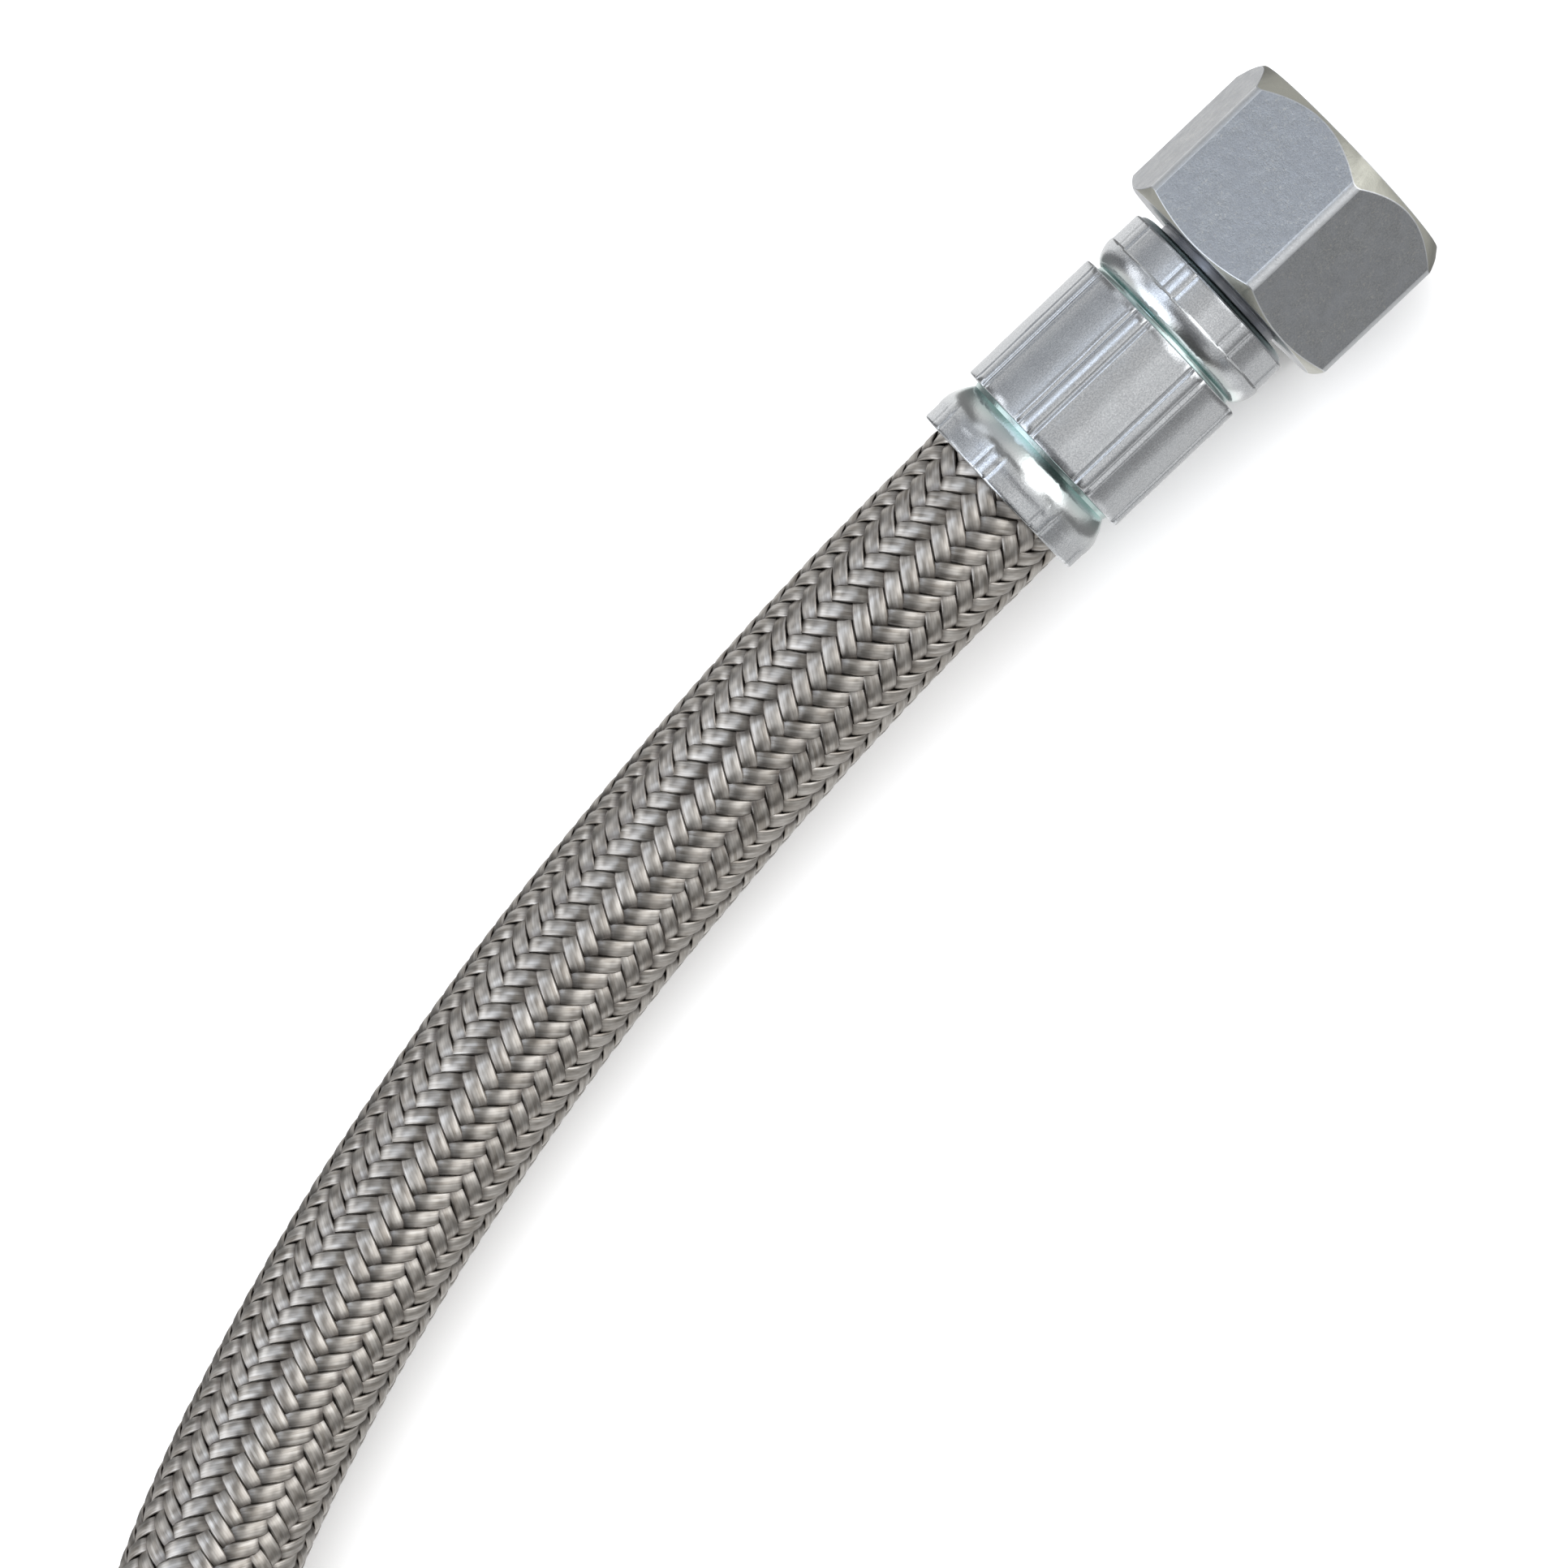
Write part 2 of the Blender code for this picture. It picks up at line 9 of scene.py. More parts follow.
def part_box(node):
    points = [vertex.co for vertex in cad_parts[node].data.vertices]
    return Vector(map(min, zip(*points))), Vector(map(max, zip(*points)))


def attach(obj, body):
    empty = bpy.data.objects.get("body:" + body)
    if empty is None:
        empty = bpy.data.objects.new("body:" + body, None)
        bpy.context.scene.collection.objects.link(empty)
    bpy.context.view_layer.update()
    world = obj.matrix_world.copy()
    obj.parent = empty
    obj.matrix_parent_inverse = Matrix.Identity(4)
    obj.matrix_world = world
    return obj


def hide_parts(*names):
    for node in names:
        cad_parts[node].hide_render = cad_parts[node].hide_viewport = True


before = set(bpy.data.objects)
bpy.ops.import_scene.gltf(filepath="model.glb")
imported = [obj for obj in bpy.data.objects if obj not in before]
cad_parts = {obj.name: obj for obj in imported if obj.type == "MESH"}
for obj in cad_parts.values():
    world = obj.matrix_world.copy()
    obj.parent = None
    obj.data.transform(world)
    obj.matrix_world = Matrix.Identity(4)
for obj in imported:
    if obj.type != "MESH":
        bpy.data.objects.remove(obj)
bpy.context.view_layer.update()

MM = 0.001

# Places read from the frame. Both fittings lie along X and are alike.
ENDS = ("near", "far")
FITTING_PLACE = {}
for end in ENDS:
    nut_low, nut_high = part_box(f"{end}_swivel_nut")
    FITTING_PLACE[end] = (nut_low + nut_high) / 2
ferrule_low, ferrule_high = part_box("near_ferrule")
nipple_low, nipple_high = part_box("near_nipple")
seal_low, seal_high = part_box("near_seal_ring")
NUT_LENGTH = nut_high.x - nut_low.x
AXIS_HEIGHT = FITTING_PLACE["near"].z
NUT_ACROSS_FLATS = 2 * AXIS_HEIGHT
NUT_FRONT = NUT_LENGTH / 2
NUT_REAR = -NUT_LENGTH / 2
FERRULE_FRONT = ferrule_high.x
NOSE_SLOPE_LENGTH = 0.45 * MM
FERRULE_RIM = FERRULE_FRONT - NOSE_SLOPE_LENGTH
FERRULE_REAR = ferrule_low.x
FERRULE_LIP_BACK = FERRULE_RIM - 2.2 * MM
NOSE_FRONT = nipple_high.x
TAIL_END = nipple_low.x

# Hose, as in the solids
HOSE_DIAMETER = 13.0 * MM
HOSE_RADIUS = HOSE_DIAMETER / 2
LINER_OUTER_RADIUS = 5.60 * MM
LINER_BORE_RADIUS = 5.14 * MM
CRIMP_SQUEEZE = 0.94
FERRULE_MOUTH_DEPTH = 3.5 * MM
HOSE_INTO_FERRULE = 17.6 * MM
ROUTE_CHORDS = 24

# The hose's route from the near ferrule's rear rim, as in the solids: x, y, and height, where 1 is the
# fitting's axis and 0 is a hose that lies on the surface.
ROUTE = (
    (-0.0128, -0.0003, 0.88),
    (-0.0248, -0.0007, 0.50),
    (-0.0372, -0.0016, 0.14),
    (-0.0494, -0.0032, 0.02),
    (-0.0614, -0.0056, 0.00),
    (-0.0731, -0.0085, 0.00),
    (-0.0846, -0.0122, 0.00),
    (-0.0967, -0.0172, 0.00),
    (-0.1080, -0.0237, 0.00),
    (-0.1180, -0.0321, 0.00),
    (-0.1261, -0.0423, 0.00),
    (-0.1320, -0.0540, 0.00),
    (-0.1355, -0.0666, 0.00),
    (-0.1364, -0.0796, 0.00),
    (-0.1346, -0.0926, 0.00),
    (-0.1306, -0.1049, 0.00),
    (-0.1242, -0.1163, 0.00),
    (-0.1158, -0.1261, 0.00),
    (-0.1056, -0.1341, 0.00),
    (-0.0940, -0.1400, 0.00),
    (-0.0816, -0.1439, 0.00),
    (-0.0688, -0.1462, 0.02),
    (-0.0559, -0.1472, 0.18),
    (-0.0446, -0.1475, 0.53),
    (-0.0337, -0.1475, 0.88),
)
FAR_RIM = (-0.0229, -0.1475, 1.00)

# Braid: flat strands of fine wires in both hands, each over two and under two of the other hand
STRANDS_EACH_HAND = 18
STRAND_PITCH = math.tau / STRANDS_EACH_HAND
BRAID_LEAD = 28.6 * MM
FLOATS_ROUND = 9
FLOAT_COLUMN = math.radians(17.5)
BRAID_MID_RADIUS = 6.15 * MM
STRAND_RISE = 0.22 * MM
STRAND_WIDTH = 1.30 * MM
STRAND_THICKNESS = 0.28 * MM
WEAVE_STEEPNESS = 1.2
WEAVE_REACH = 1.18
STRAND_WANDER = 0.035
STRAND_WANDER_HEIGHT = 0.10 * MM
WANDERS_ALONG_HOSE = 60.0
TONE_SEED = 7
RINGS_PER_FLOAT_PAIR = 11
PROFILE_POINTS = 8
WIRES_IN_STRAND = 6
BRAID_INTO_FERRULE = 1.3 * MM
CORE_RADIUS = 5.85 * MM

# Camera, worked out from the nut's and the ferrule's edges in the photograph
PICTURE_SIDE = 1932
FOCAL_PIXELS = 7418.7
CAMERA_DISTANCE = 449.8 * MM
CAMERA_STANDS_OVER = Vector((-23.7, 0.0, 9.5)) * MM
CAMERA_TARGET = Vector((-56.12, -4.06, 6.4)) * MM
AXIS_TILT_IN_PICTURE = math.radians(43.39)
LEAN_FROM_VERTICAL = math.radians(20.3)
SENSOR_WIDTH = 36.0


class Graph:
    """Adds nodes to a shader or geometry tree and joins them."""

    def __init__(self, tree):
        self.tree = tree

    def feed(self, socket, value):
        if isinstance(value, bpy.types.NodeSocket):
            self.tree.links.new(value, socket)
        else:
            socket.default_value = value

    def node(self, kind, inputs=None, **settings):
        made = self.tree.nodes.new(kind)
        for name, value in settings.items():
            setattr(made, name, value)
        for name, value in (inputs or {}).items():
            self.feed(made.inputs[name], value)
        return made

    def math(self, operation, *values):
        made = self.tree.nodes.new("ShaderNodeMath")
        made.operation = operation
        for socket, value in zip(made.inputs, values):
            self.feed(socket, value)
        return made.outputs[0]

    def vector(self, operation, *values):
        made = self.tree.nodes.new("ShaderNodeVectorMath")
        made.operation = operation
        sockets = [made.inputs[0], made.inputs["Scale"]] if operation == "SCALE" else made.inputs
        for socket, value in zip(sockets, values):
            self.feed(socket, value)
        answer = "Value" if operation in ("DOT_PRODUCT", "LENGTH", "DISTANCE") else "Vector"
        return made.outputs[answer]


def link(piece):
    """Put an object into the scene."""
    bpy.context.scene.collection.objects.link(piece)
    return piece


def finish_piece(name, mesh, material, body, replaced=()):
    """A finished piece at the origin, riding on its body."""
    mesh.materials.clear()
    mesh.materials.append(material)
    piece = link(bpy.data.objects.new(name, mesh))
    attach(piece, body)
    if replaced:
        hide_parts(*replaced)
    return piece


def evaluated_mesh(piece, name):
    """The mesh that an object's modifiers make. The object is removed."""
    bpy.context.view_layer.update()
    mesh = bpy.data.meshes.new_from_object(piece.evaluated_get(bpy.context.evaluated_depsgraph_get()))
    mesh.name = name
    bpy.data.objects.remove(piece, do_unlink=True)
    return mesh


def mesh_from(shape, name, sharp_angle=None):
    """Turn a bmesh into a mesh with its faces out and its round parts smooth."""
    bmesh.ops.recalc_face_normals(shape, faces=shape.faces)
    mesh = bpy.data.meshes.new(name)
    shape.to_mesh(mesh)
    shape.free()
    mesh.shade_smooth()
    if sharp_angle is not None:
        mesh.set_sharp_from_angle(angle=sharp_angle)
    return mesh


def loft(name, rings, closed=True, sharp_angle=None):
    """Join equal closed rings one after another. The last one joins the first, or both ends are capped."""
    shape = bmesh.new()
    loops = [[shape.verts.new(point) for point in ring] for ring in rings]
    following = loops[1:] + loops[:1] if closed else loops[1:]
    for near, far in zip(loops, following):
        for at in range(len(near)):
            after = (at + 1) % len(near)
            shape.faces.new((near[at], near[after], far[after], far[at]))
    if not closed:
        shape.faces.new(loops[0])
        shape.faces.new(loops[-1])
    return mesh_from(shape, name, sharp_angle)


def turned(name, profile, sides, closed=True, sharp_angle=None):
    """Turn a profile of (x, radius) points about the X axis. The ends of an open profile are capped."""
    turns = [math.tau * side / sides for side in range(sides)]
    rings = [[Vector((x, radius * math.sin(turn), radius * math.cos(turn))) for turn in turns]
             for x, radius in profile]
    return loft(name, rings, closed, sharp_angle)


# Camera

def make_camera():
    """The photograph's camera: over the ferrule, leaning towards -Y, aimed at the picture's middle."""
    lean = Vector((0, -math.sin(LEAN_FROM_VERTICAL), math.cos(LEAN_FROM_VERTICAL)))
    across = Vector((0, math.cos(LEAN_FROM_VERTICAL), math.sin(LEAN_FROM_VERTICAL)))
    along = Vector((1, 0, 0))
    place = CAMERA_STANDS_OVER + lean * CAMERA_DISTANCE
    back = (place - CAMERA_TARGET).normalized()
    level = along * math.cos(AXIS_TILT_IN_PICTURE) - across * math.sin(AXIS_TILT_IN_PICTURE)
    right = (level - back * level.dot(back)).normalized()
    camera_data = bpy.data.cameras.new("camera")
    camera_data.sensor_width = SENSOR_WIDTH
    camera_data.lens = FOCAL_PIXELS * SENSOR_WIDTH / PICTURE_SIDE
    camera_data.clip_start = 0.01
    camera_data.clip_end = 100.0
    camera = link(bpy.data.objects.new("camera", camera_data))
    turn = Matrix((right, back.cross(right), back)).transposed()
    camera.matrix_world = Matrix.Translation(place) @ turn.to_4x4()
    bpy.context.scene.camera = camera


# Hose route

def smooth_curve(points):
    """Catmull-Rom curve through the points, as many short chords."""
    padded = [points[0] * 2 - points[1], *points, points[-1] * 2 - points[-2]]
    curve = []
    for before, start, end, after in zip(padded, padded[1:], padded[2:], padded[3:]):
        for step in range(ROUTE_CHORDS):
            t = step / ROUTE_CHORDS
            curve.append(0.5 * (2 * start + (end - before) * t
                                + (2 * before - 5 * start + 4 * end - after) * t ** 2
                                + (3 * start - 3 * end + after - before) * t ** 3))
    curve.append(points[-1])
    return curve


def evenly(curve, step):
    """Points of a curve at even distances, its two ends among them."""
    lengths = [0.0]
    for start, end in zip(curve, curve[1:]):
        lengths.append(lengths[-1] + (end - start).length)
    count = max(2, round(lengths[-1] / step))
    points = []
    at = 0
    for number in range(count + 1):
        wanted = lengths[-1] * number / count
        while at < len(curve) - 2 and lengths[at + 1] < wanted:
            at += 1
        share = (wanted - lengths[at]) / (lengths[at + 1] - lengths[at])
        points.append(curve[at].lerp(curve[at + 1], share))
    return points


def line_length(line):
    """Length of a line of points."""
    return sum((after - before).length for before, after in zip(line, line[1:]))


def free_route():
    """The hose's centre line from rim to rim."""
    places = [(0.0, 0.0, 1.0), *ROUTE, FAR_RIM]
    points = [Vector((FERRULE_REAR + x, y, HOSE_RADIUS + height * (AXIS_HEIGHT - HOSE_RADIUS)))
              for x, y, height in places]
    return smooth_curve(points)


def hose_line(into_ferrules, step):
    """Even points along the hose, reaching into both ferrules."""
    route = free_route()
    inward = Vector((into_ferrules, 0, 0))
    return evenly([route[0] + inward, *route, route[-1] + inward], step)


def tube_rings(line, radius_at, sides):
    """Rings of a tube round a centre line, square to it. The upright direction never turns along the hose."""
    rings = []
    for number, point in enumerate(line):
        before = line[max(number - 1, 0)]
        after = line[min(number + 1, len(line) - 1)]
        tangent = (after - before).normalized()
        side = Vector((tangent.y, -tangent.x, 0)).normalized()
        upright = side.cross(tangent)
        radius = radius_at(point)
        rings.append([point + radius * (upright * math.cos(math.tau * at / sides)
                                        - side * math.sin(math.tau * at / sides)) for at in range(sides)])
    return rings


def squeezed(radius):
    """Radius of a layer of the hose, which is smaller where a ferrule is crimped on it."""
    far_rim_x = FERRULE_REAR + FAR_RIM[0]
    half_way_y = FAR_RIM[1] / 2

    def at(point):
        rim_x = FERRULE_REAR if point.y > half_way_y else far_rim_x
        inside = min(max((point.x - rim_x) / FERRULE_MOUTH_DEPTH, 0.0), 1.0)
        return radius * (1 - (1 - CRIMP_SQUEEZE) * inside)
    return at


def hollow_tube(name, line, outer, inner, sides):
    """A tube with a bore, closed over both ends' walls."""
    outside = tube_rings(line, squeezed(outer), sides)
    inside = tube_rings(line, squeezed(inner), sides)
    return loft(name, outside + inside[::-1])


# Braid

def braid_tree():
    """Geometry nodes that wind one hand's flat strands round the line they are given."""
    tree = bpy.data.node_groups.new("braid_strands", "GeometryNodeTree")
    face = tree.interface
    face.new_socket("Line", in_out="INPUT", socket_type="NodeSocketGeometry")
    counts = ("Strands", "Rings", "Profile Points")
    sizes = ("First Angle", "Strand Spacing", "Hand", "Turns", "Mid Radius", "Rise", "Width", "Thickness",
             "Floats Round", "Float Column", "Seed")
    kinds = {**dict.fromkeys(counts, "Int"), **dict.fromkeys(sizes, "Float"), "Material": "Material"}
    sockets = {}
    for name, kind in kinds.items():
        sockets[name] = face.new_socket(name, in_out="INPUT", socket_type=f"NodeSocket{kind}").identifier
    face.new_socket("Strands", in_out="OUTPUT", socket_type="NodeSocketGeometry")

    g = Graph(tree)
    size = g.node("NodeGroupInput").outputs

    def store(geometry, name, value, kind="FLOAT"):
        kept = g.node("GeometryNodeStoreNamedAttribute", {"Geometry": geometry, "Name": name, "Value": value},
                      data_type=kind, domain="POINT")
        return kept.outputs["Geometry"]

    line = g.node("GeometryNodeMeshToCurve", {"Mesh": size["Line"]}).outputs["Curve"]
    line = g.node("GeometryNodeSetCurveNormal", {"Curve": line}, mode="Z_UP").outputs["Curve"]

    straight = g.node("GeometryNodeCurvePrimitiveLine").outputs["Curve"]
    straight = g.node("GeometryNodeResampleCurve", {"Curve": straight, "Count": size["Rings"]})
    copies = g.node("GeometryNodeDuplicateElements",
                    {"Geometry": straight.outputs["Curve"], "Amount": size["Strands"]}, domain="SPLINE")
    number = copies.outputs["Duplicate Index"]
    share = g.node("GeometryNodeSplineParameter").outputs["Factor"]

    # A little unevenness, different for each strand
    tone = g.node("FunctionNodeRandomValue", {2: 0.0, 3: 1.0, "ID": number}, data_type="FLOAT")
    g.feed(tone.inputs["Seed"], TONE_SEED)
    tone = tone.outputs[1]
    drift_at = g.node("ShaderNodeCombineXYZ", {"X": g.math("MULTIPLY", share, WANDERS_ALONG_HOSE),
                                               "Y": g.math("MULTIPLY", number, 3.7), "Z": size["Seed"]})
    drift = g.node("ShaderNodeTexNoise", {"Vector": drift_at.outputs["Vector"], "Scale": 1.0, "Detail": 1.0})
    drift = g.math("SUBTRACT", drift.outputs[0], 0.5)

    angle = g.math("MULTIPLY", g.math("MULTIPLY", share, size["Turns"]), math.tau)
    angle = g.math("MULTIPLY", angle, size["Hand"])
    start = g.math("ADD", size["First Angle"], g.math("MULTIPLY", number, size["Strand Spacing"]))
    angle = g.math("ADD", angle, start)
    wobble = g.math("MULTIPLY", drift, STRAND_WANDER)

    # Over two and under two: the height follows the angle round the hose
    weave = g.math("MULTIPLY", g.math("SUBTRACT", angle, size["Float Column"]), size["Floats Round"])
    weave = g.math("TANH", g.math("MULTIPLY", g.math("COSINE", weave), WEAVE_STEEPNESS))
    weave = g.math("MULTIPLY", weave, WEAVE_REACH)
    lift = g.math("MULTIPLY", weave, size["Hand"])
    weave = g.math("MULTIPLY", weave, g.math("MULTIPLY", size["Hand"], size["Rise"]))
    radius = g.math("ADD", size["Mid Radius"], weave)
    radius = g.math("ADD", radius, g.math("MULTIPLY", drift, STRAND_WANDER_HEIGHT))

    angle = g.math("ADD", angle, wobble)
    on_line = g.node("GeometryNodeSampleCurve", {"Curves": line, "Factor": share}, mode="FACTOR",
                     use_all_curves=True)
    tangent = on_line.outputs["Tangent"]
    side = on_line.outputs["Normal"]
    upright = g.vector("CROSS_PRODUCT", side, tangent)
    radial = g.vector("SUBTRACT", g.vector("SCALE", upright, g.math("COSINE", angle)),
                      g.vector("SCALE", side, g.math("SINE", angle)))
    place = g.vector("ADD", on_line.outputs["Position"], g.vector("SCALE", radial, radius))
    strands = g.node("GeometryNodeSetPosition", {"Geometry": copies.outputs["Geometry"], "Position": place})
    strands = g.node("GeometryNodeSetCurveNormal", {"Curve": strands.outputs["Geometry"], "Normal": radial},
                     mode="FREE").outputs["Curve"]
    strands = store(strands, "tone", tone)
    strands = store(strands, "along", share)
    strands = store(strands, "lift", lift)
    wire_way = g.node("GeometryNodeInputTangent").outputs["Tangent"]
    strands = store(strands, "wire_way", wire_way, "FLOAT_VECTOR")

    # Flat profile with a low crown
    circle = g.node("GeometryNodeCurvePrimitiveCircle", {"Resolution": size["Profile Points"], "Radius": 1.0})
    corner = g.node("GeometryNodeInputPosition").outputs["Position"]
    corner = g.node("ShaderNodeSeparateXYZ", {"Vector": corner})

    def rounder(value, power):
        reach = g.math("POWER", g.math("ABSOLUTE", value), power)
        return g.math("MULTIPLY", reach, g.math("SIGN", value))

    crown = rounder(corner.outputs["X"], 0.7)
    edge = rounder(corner.outputs["Y"], 0.8)
    profile_place = g.node("ShaderNodeCombineXYZ", {
        "X": g.math("MULTIPLY", crown, g.math("MULTIPLY", size["Thickness"], 0.5)),
        "Y": g.math("MULTIPLY", edge, g.math("MULTIPLY", size["Width"], 0.5))})
    profile = store(circle.outputs["Curve"], "across", edge)
    profile = g.node("GeometryNodeSetPosition",
                     {"Geometry": profile, "Position": profile_place.outputs["Vector"]}).outputs["Geometry"]

    ribbon = g.node("GeometryNodeCurveToMesh",
                    {"Curve": strands, "Profile Curve": profile, "Fill Caps": True})
    ribbon = g.node("GeometryNodeSetShadeSmooth", {"Geometry": ribbon.outputs["Mesh"]})
    ribbon = g.node("GeometryNodeRealizeInstances", {"Geometry": ribbon.outputs["Geometry"]})
    ribbon = g.node("GeometryNodeSetMaterial", {"Geometry": ribbon.outputs["Geometry"],
                                                "Material": size["Material"]})
    g.node("NodeGroupOutput", {"Strands": ribbon.outputs["Geometry"]})
    return tree, sockets


def make_braid(material):
    """Four groups of strands, two of each hand, wound along the whole free hose."""
    tree, sockets = braid_tree()
    line = hose_line(BRAID_INTO_FERRULE, 1.0 * MM)
    length = line_length(line)
    float_pairs = length / (BRAID_LEAD / FLOATS_ROUND)
    first_crossing = FLOAT_COLUMN - STRAND_PITCH / 4
    pieces = []
    for hand, hand_name in ((1.0, "right"), (-1.0, "left")):
        for group in range(2):
            host_mesh = bpy.data.meshes.new("braid_line")
            host_mesh.from_pydata(line, [(at, at + 1) for at in range(len(line) - 1)], [])
            host = link(bpy.data.objects.new("braid_line", host_mesh))
            winding = host.modifiers.new("winding", "NODES")
            winding.node_group = tree
            values = {
                "Strands": STRANDS_EACH_HAND // 2,
                "Rings": round(float_pairs * RINGS_PER_FLOAT_PAIR),
                "Profile Points": PROFILE_POINTS,
                "First Angle": first_crossing + group * STRAND_PITCH,
                "Strand Spacing": 2 * STRAND_PITCH,
                "Hand": hand,
                "Turns": length / BRAID_LEAD,
                "Mid Radius": BRAID_MID_RADIUS,
                "Rise": STRAND_RISE,
                "Width": STRAND_WIDTH,
                "Thickness": STRAND_THICKNESS,
                "Floats Round": float(FLOATS_ROUND),
                "Float Column": FLOAT_COLUMN,
                "Seed": 3.0 + 10.0 * group + 5.0 * hand,
                "Material": material,
            }
            for name, value in values.items():
                winding[sockets[name]] = value
            name = f"braid_{hand_name}_hand_{'ab'[group]}"
            mesh = evaluated_mesh(host, name)
            pieces.append(finish_piece(name, mesh, material, "hose_assembly",
                                       ("hose_braid",)))
    return pieces


# Swivel nut

THREAD_PITCH = 1.5 * MM
THREAD_MINOR_RADIUS = 7.25 * MM
THREAD_MAJOR_RADIUS = 8.0 * MM
NUT_BACK_RADIUS = 6.10 * MM
NUT_SEAT_FOOT = NUT_REAR + 3.4 * MM
NUT_SEAT_HEAD = NUT_SEAT_FOOT + THREAD_MINOR_RADIUS - NUT_BACK_RADIUS
NUT_CORNER_RADIUS = NUT_ACROSS_FLATS / 2 / math.cos(math.pi / 6)


def as_tool(mesh):
    """A cutter or envelope for a Boolean."""
    tool = link(bpy.data.objects.new(mesh.name, mesh))
    tool.hide_render = True
    return tool


def thread_ridge():
    """The nut's inner thread: one long ridge that winds round the bore, its foot sunk in the wall."""
    start = NUT_SEAT_HEAD + 1.6 * MM
    turns = (NUT_FRONT - 0.9 * MM - start) / THREAD_PITCH
    per_turn = 72
    foot = 0.64 * MM
    crest = 0.11 * MM
    rings = []
    for step in range(round(turns * per_turn) + 1):
        turn = step / per_turn
        fade = min(1.0, 2.5 * turn, 2.5 * (turns - turn))
        fade = max(fade, 0.05)
        x = start + turn * THREAD_PITCH
        angle = math.tau * turn
        tip = THREAD_MAJOR_RADIUS + (THREAD_MINOR_RADIUS + 0.03 * MM - THREAD_MAJOR_RADIUS) * fade
        ring = []
        for offset, radius in ((-foot * fade, THREAD_MAJOR_RADIUS + 0.05 * MM), (-crest * fade, tip),
                               (crest * fade, tip), (foot * fade, THREAD_MAJOR_RADIUS + 0.05 * MM)):
            ring.append(Vector((x + offset, radius * math.sin(angle), radius * math.cos(angle))))
        rings.append(ring)
    return loft("thread_ridge", rings, closed=False, sharp_angle=math.radians(40))


def nut_mesh():
    """Hexagonal bar with chamfered ends, softened edges, a threaded mouth and a smooth rear bore."""
    overrun = 1.5 * MM
    reach = NUT_CORNER_RADIUS + overrun
    flat = NUT_ACROSS_FLATS / 2
    front_face = flat - 0.23 * MM
    rear_face = flat - 0.10 * MM
    bar = bmesh.new()
    corners = [bar.verts.new((NUT_REAR - overrun, NUT_CORNER_RADIUS * math.cos(math.tau * at / 6),
                              NUT_CORNER_RADIUS * math.sin(math.tau * at / 6))) for at in range(6)]
    swept = bmesh.ops.extrude_face_region(bar, geom=[bar.faces.new(corners)])
    top = [item for item in swept["geom"] if isinstance(item, bmesh.types.BMVert)]
    bmesh.ops.translate(bar, verts=top, vec=(NUT_LENGTH + 2 * overrun, 0, 0))
    long_edges = [edge for edge in bar.edges if abs(edge.verts[0].co.x - edge.verts[1].co.x) > NUT_LENGTH]
    bmesh.ops.bevel(bar, geom=long_edges, offset=0.50 * MM, segments=5, profile=0.5, affect="EDGES")
    nut = link(bpy.data.objects.new("nut_bar", mesh_from(bar, "nut_bar")))
    front_slope, rear_slope = 1.24, 0.58
    envelope = as_tool(turned("nut_envelope", [
        (NUT_FRONT, front_face),
        (NUT_FRONT - front_slope * (reach - front_face), reach),
        (NUT_REAR + rear_slope * (reach - rear_face), reach),
        (NUT_REAR, rear_face),
    ], 192, closed=False))
    thread_start = NUT_SEAT_HEAD + 0.8 * MM
    cutter = as_tool(turned("nut_bore", [
        (NUT_FRONT + overrun, THREAD_MAJOR_RADIUS + 0.15 * MM + overrun),
        (NUT_FRONT - 0.15 * MM, THREAD_MAJOR_RADIUS),
        (thread_start, THREAD_MAJOR_RADIUS),
        (NUT_SEAT_HEAD, THREAD_MINOR_RADIUS),
        (NUT_SEAT_FOOT, NUT_BACK_RADIUS),
        (NUT_REAR + 0.3 * MM, NUT_BACK_RADIUS),
        (NUT_REAR - overrun, NUT_BACK_RADIUS + 0.3 * MM + overrun),
    ], 160, closed=False))
    for tool, operation in ((envelope, "INTERSECT"), (cutter, "DIFFERENCE")):
        step = nut.modifiers.new(tool.name, "BOOLEAN")
        step.solver = "EXACT"
        step.operation = operation
        step.object = tool
    soften = nut.modifiers.new("soften", "BEVEL")
    soften.limit_method = "ANGLE"
    soften.angle_limit = math.radians(24)
    soften.width = 0.09 * MM
    soften.segments = 2
    weighted = nut.modifiers.new("weighted", "WEIGHTED_NORMAL")
    weighted.weight = 50
    weighted.keep_sharp = True
    mesh = evaluated_mesh(nut, "swivel_nut")
    for tool in (envelope, cutter):
        bpy.data.objects.remove(tool, do_unlink=True)
    turned_face = mesh.attributes.new("turned", "FLOAT", "FACE")
    wear_and_highlight_edge = mesh.attributes.new("wear_and_highlight", "FLOAT", "FACE")
    for face in mesh.polygons:
        if math.hypot(face.center.y, face.center.z) < flat - 0.6 * MM:
            continue
        round_angle = math.degrees(math.atan2(face.normal.z, face.normal.y))
        off_flat = abs(round_angle % 60 - 30)
        chamfer = min(abs(face.normal.x - math.cos(math.atan(front_slope))), 1)
        chamfer = min(chamfer, abs(face.normal.x + math.cos(math.atan(rear_slope))))
        flat_face = abs(face.normal.x) < 0.02 and off_flat < 2
        end_face = abs(face.normal.x) >= 0.98
        turned_face.data[face.index].value = float(chamfer < 0.02)
        # Edge faces: worn plating, and a painted highlight where the rounded edges catch the light.
        wear_and_highlight_edge.data[face.index].value = float(chamfer >= 0.02 and not flat_face and not end_face)
    return mesh


# Ferrule

BEAD_RADIUS = 7.88 * MM
FERRULE_GROOVE_RADIUS = 6.86 * MM
PRESSED_STEP = 0.10 * MM
JAW_COUNT = 8
SIDES_PER_JAW = 56
JAW_PITCH = math.tau / JAW_COUNT
RIB_ANGLE = math.radians(5.2)
RIB_HALF_WIDTH = 0.55 * MM
RIB_HEIGHT = 0.20 * MM
JAW_MARK_SEEDS = {"near": 1.0, "far": 5.0}


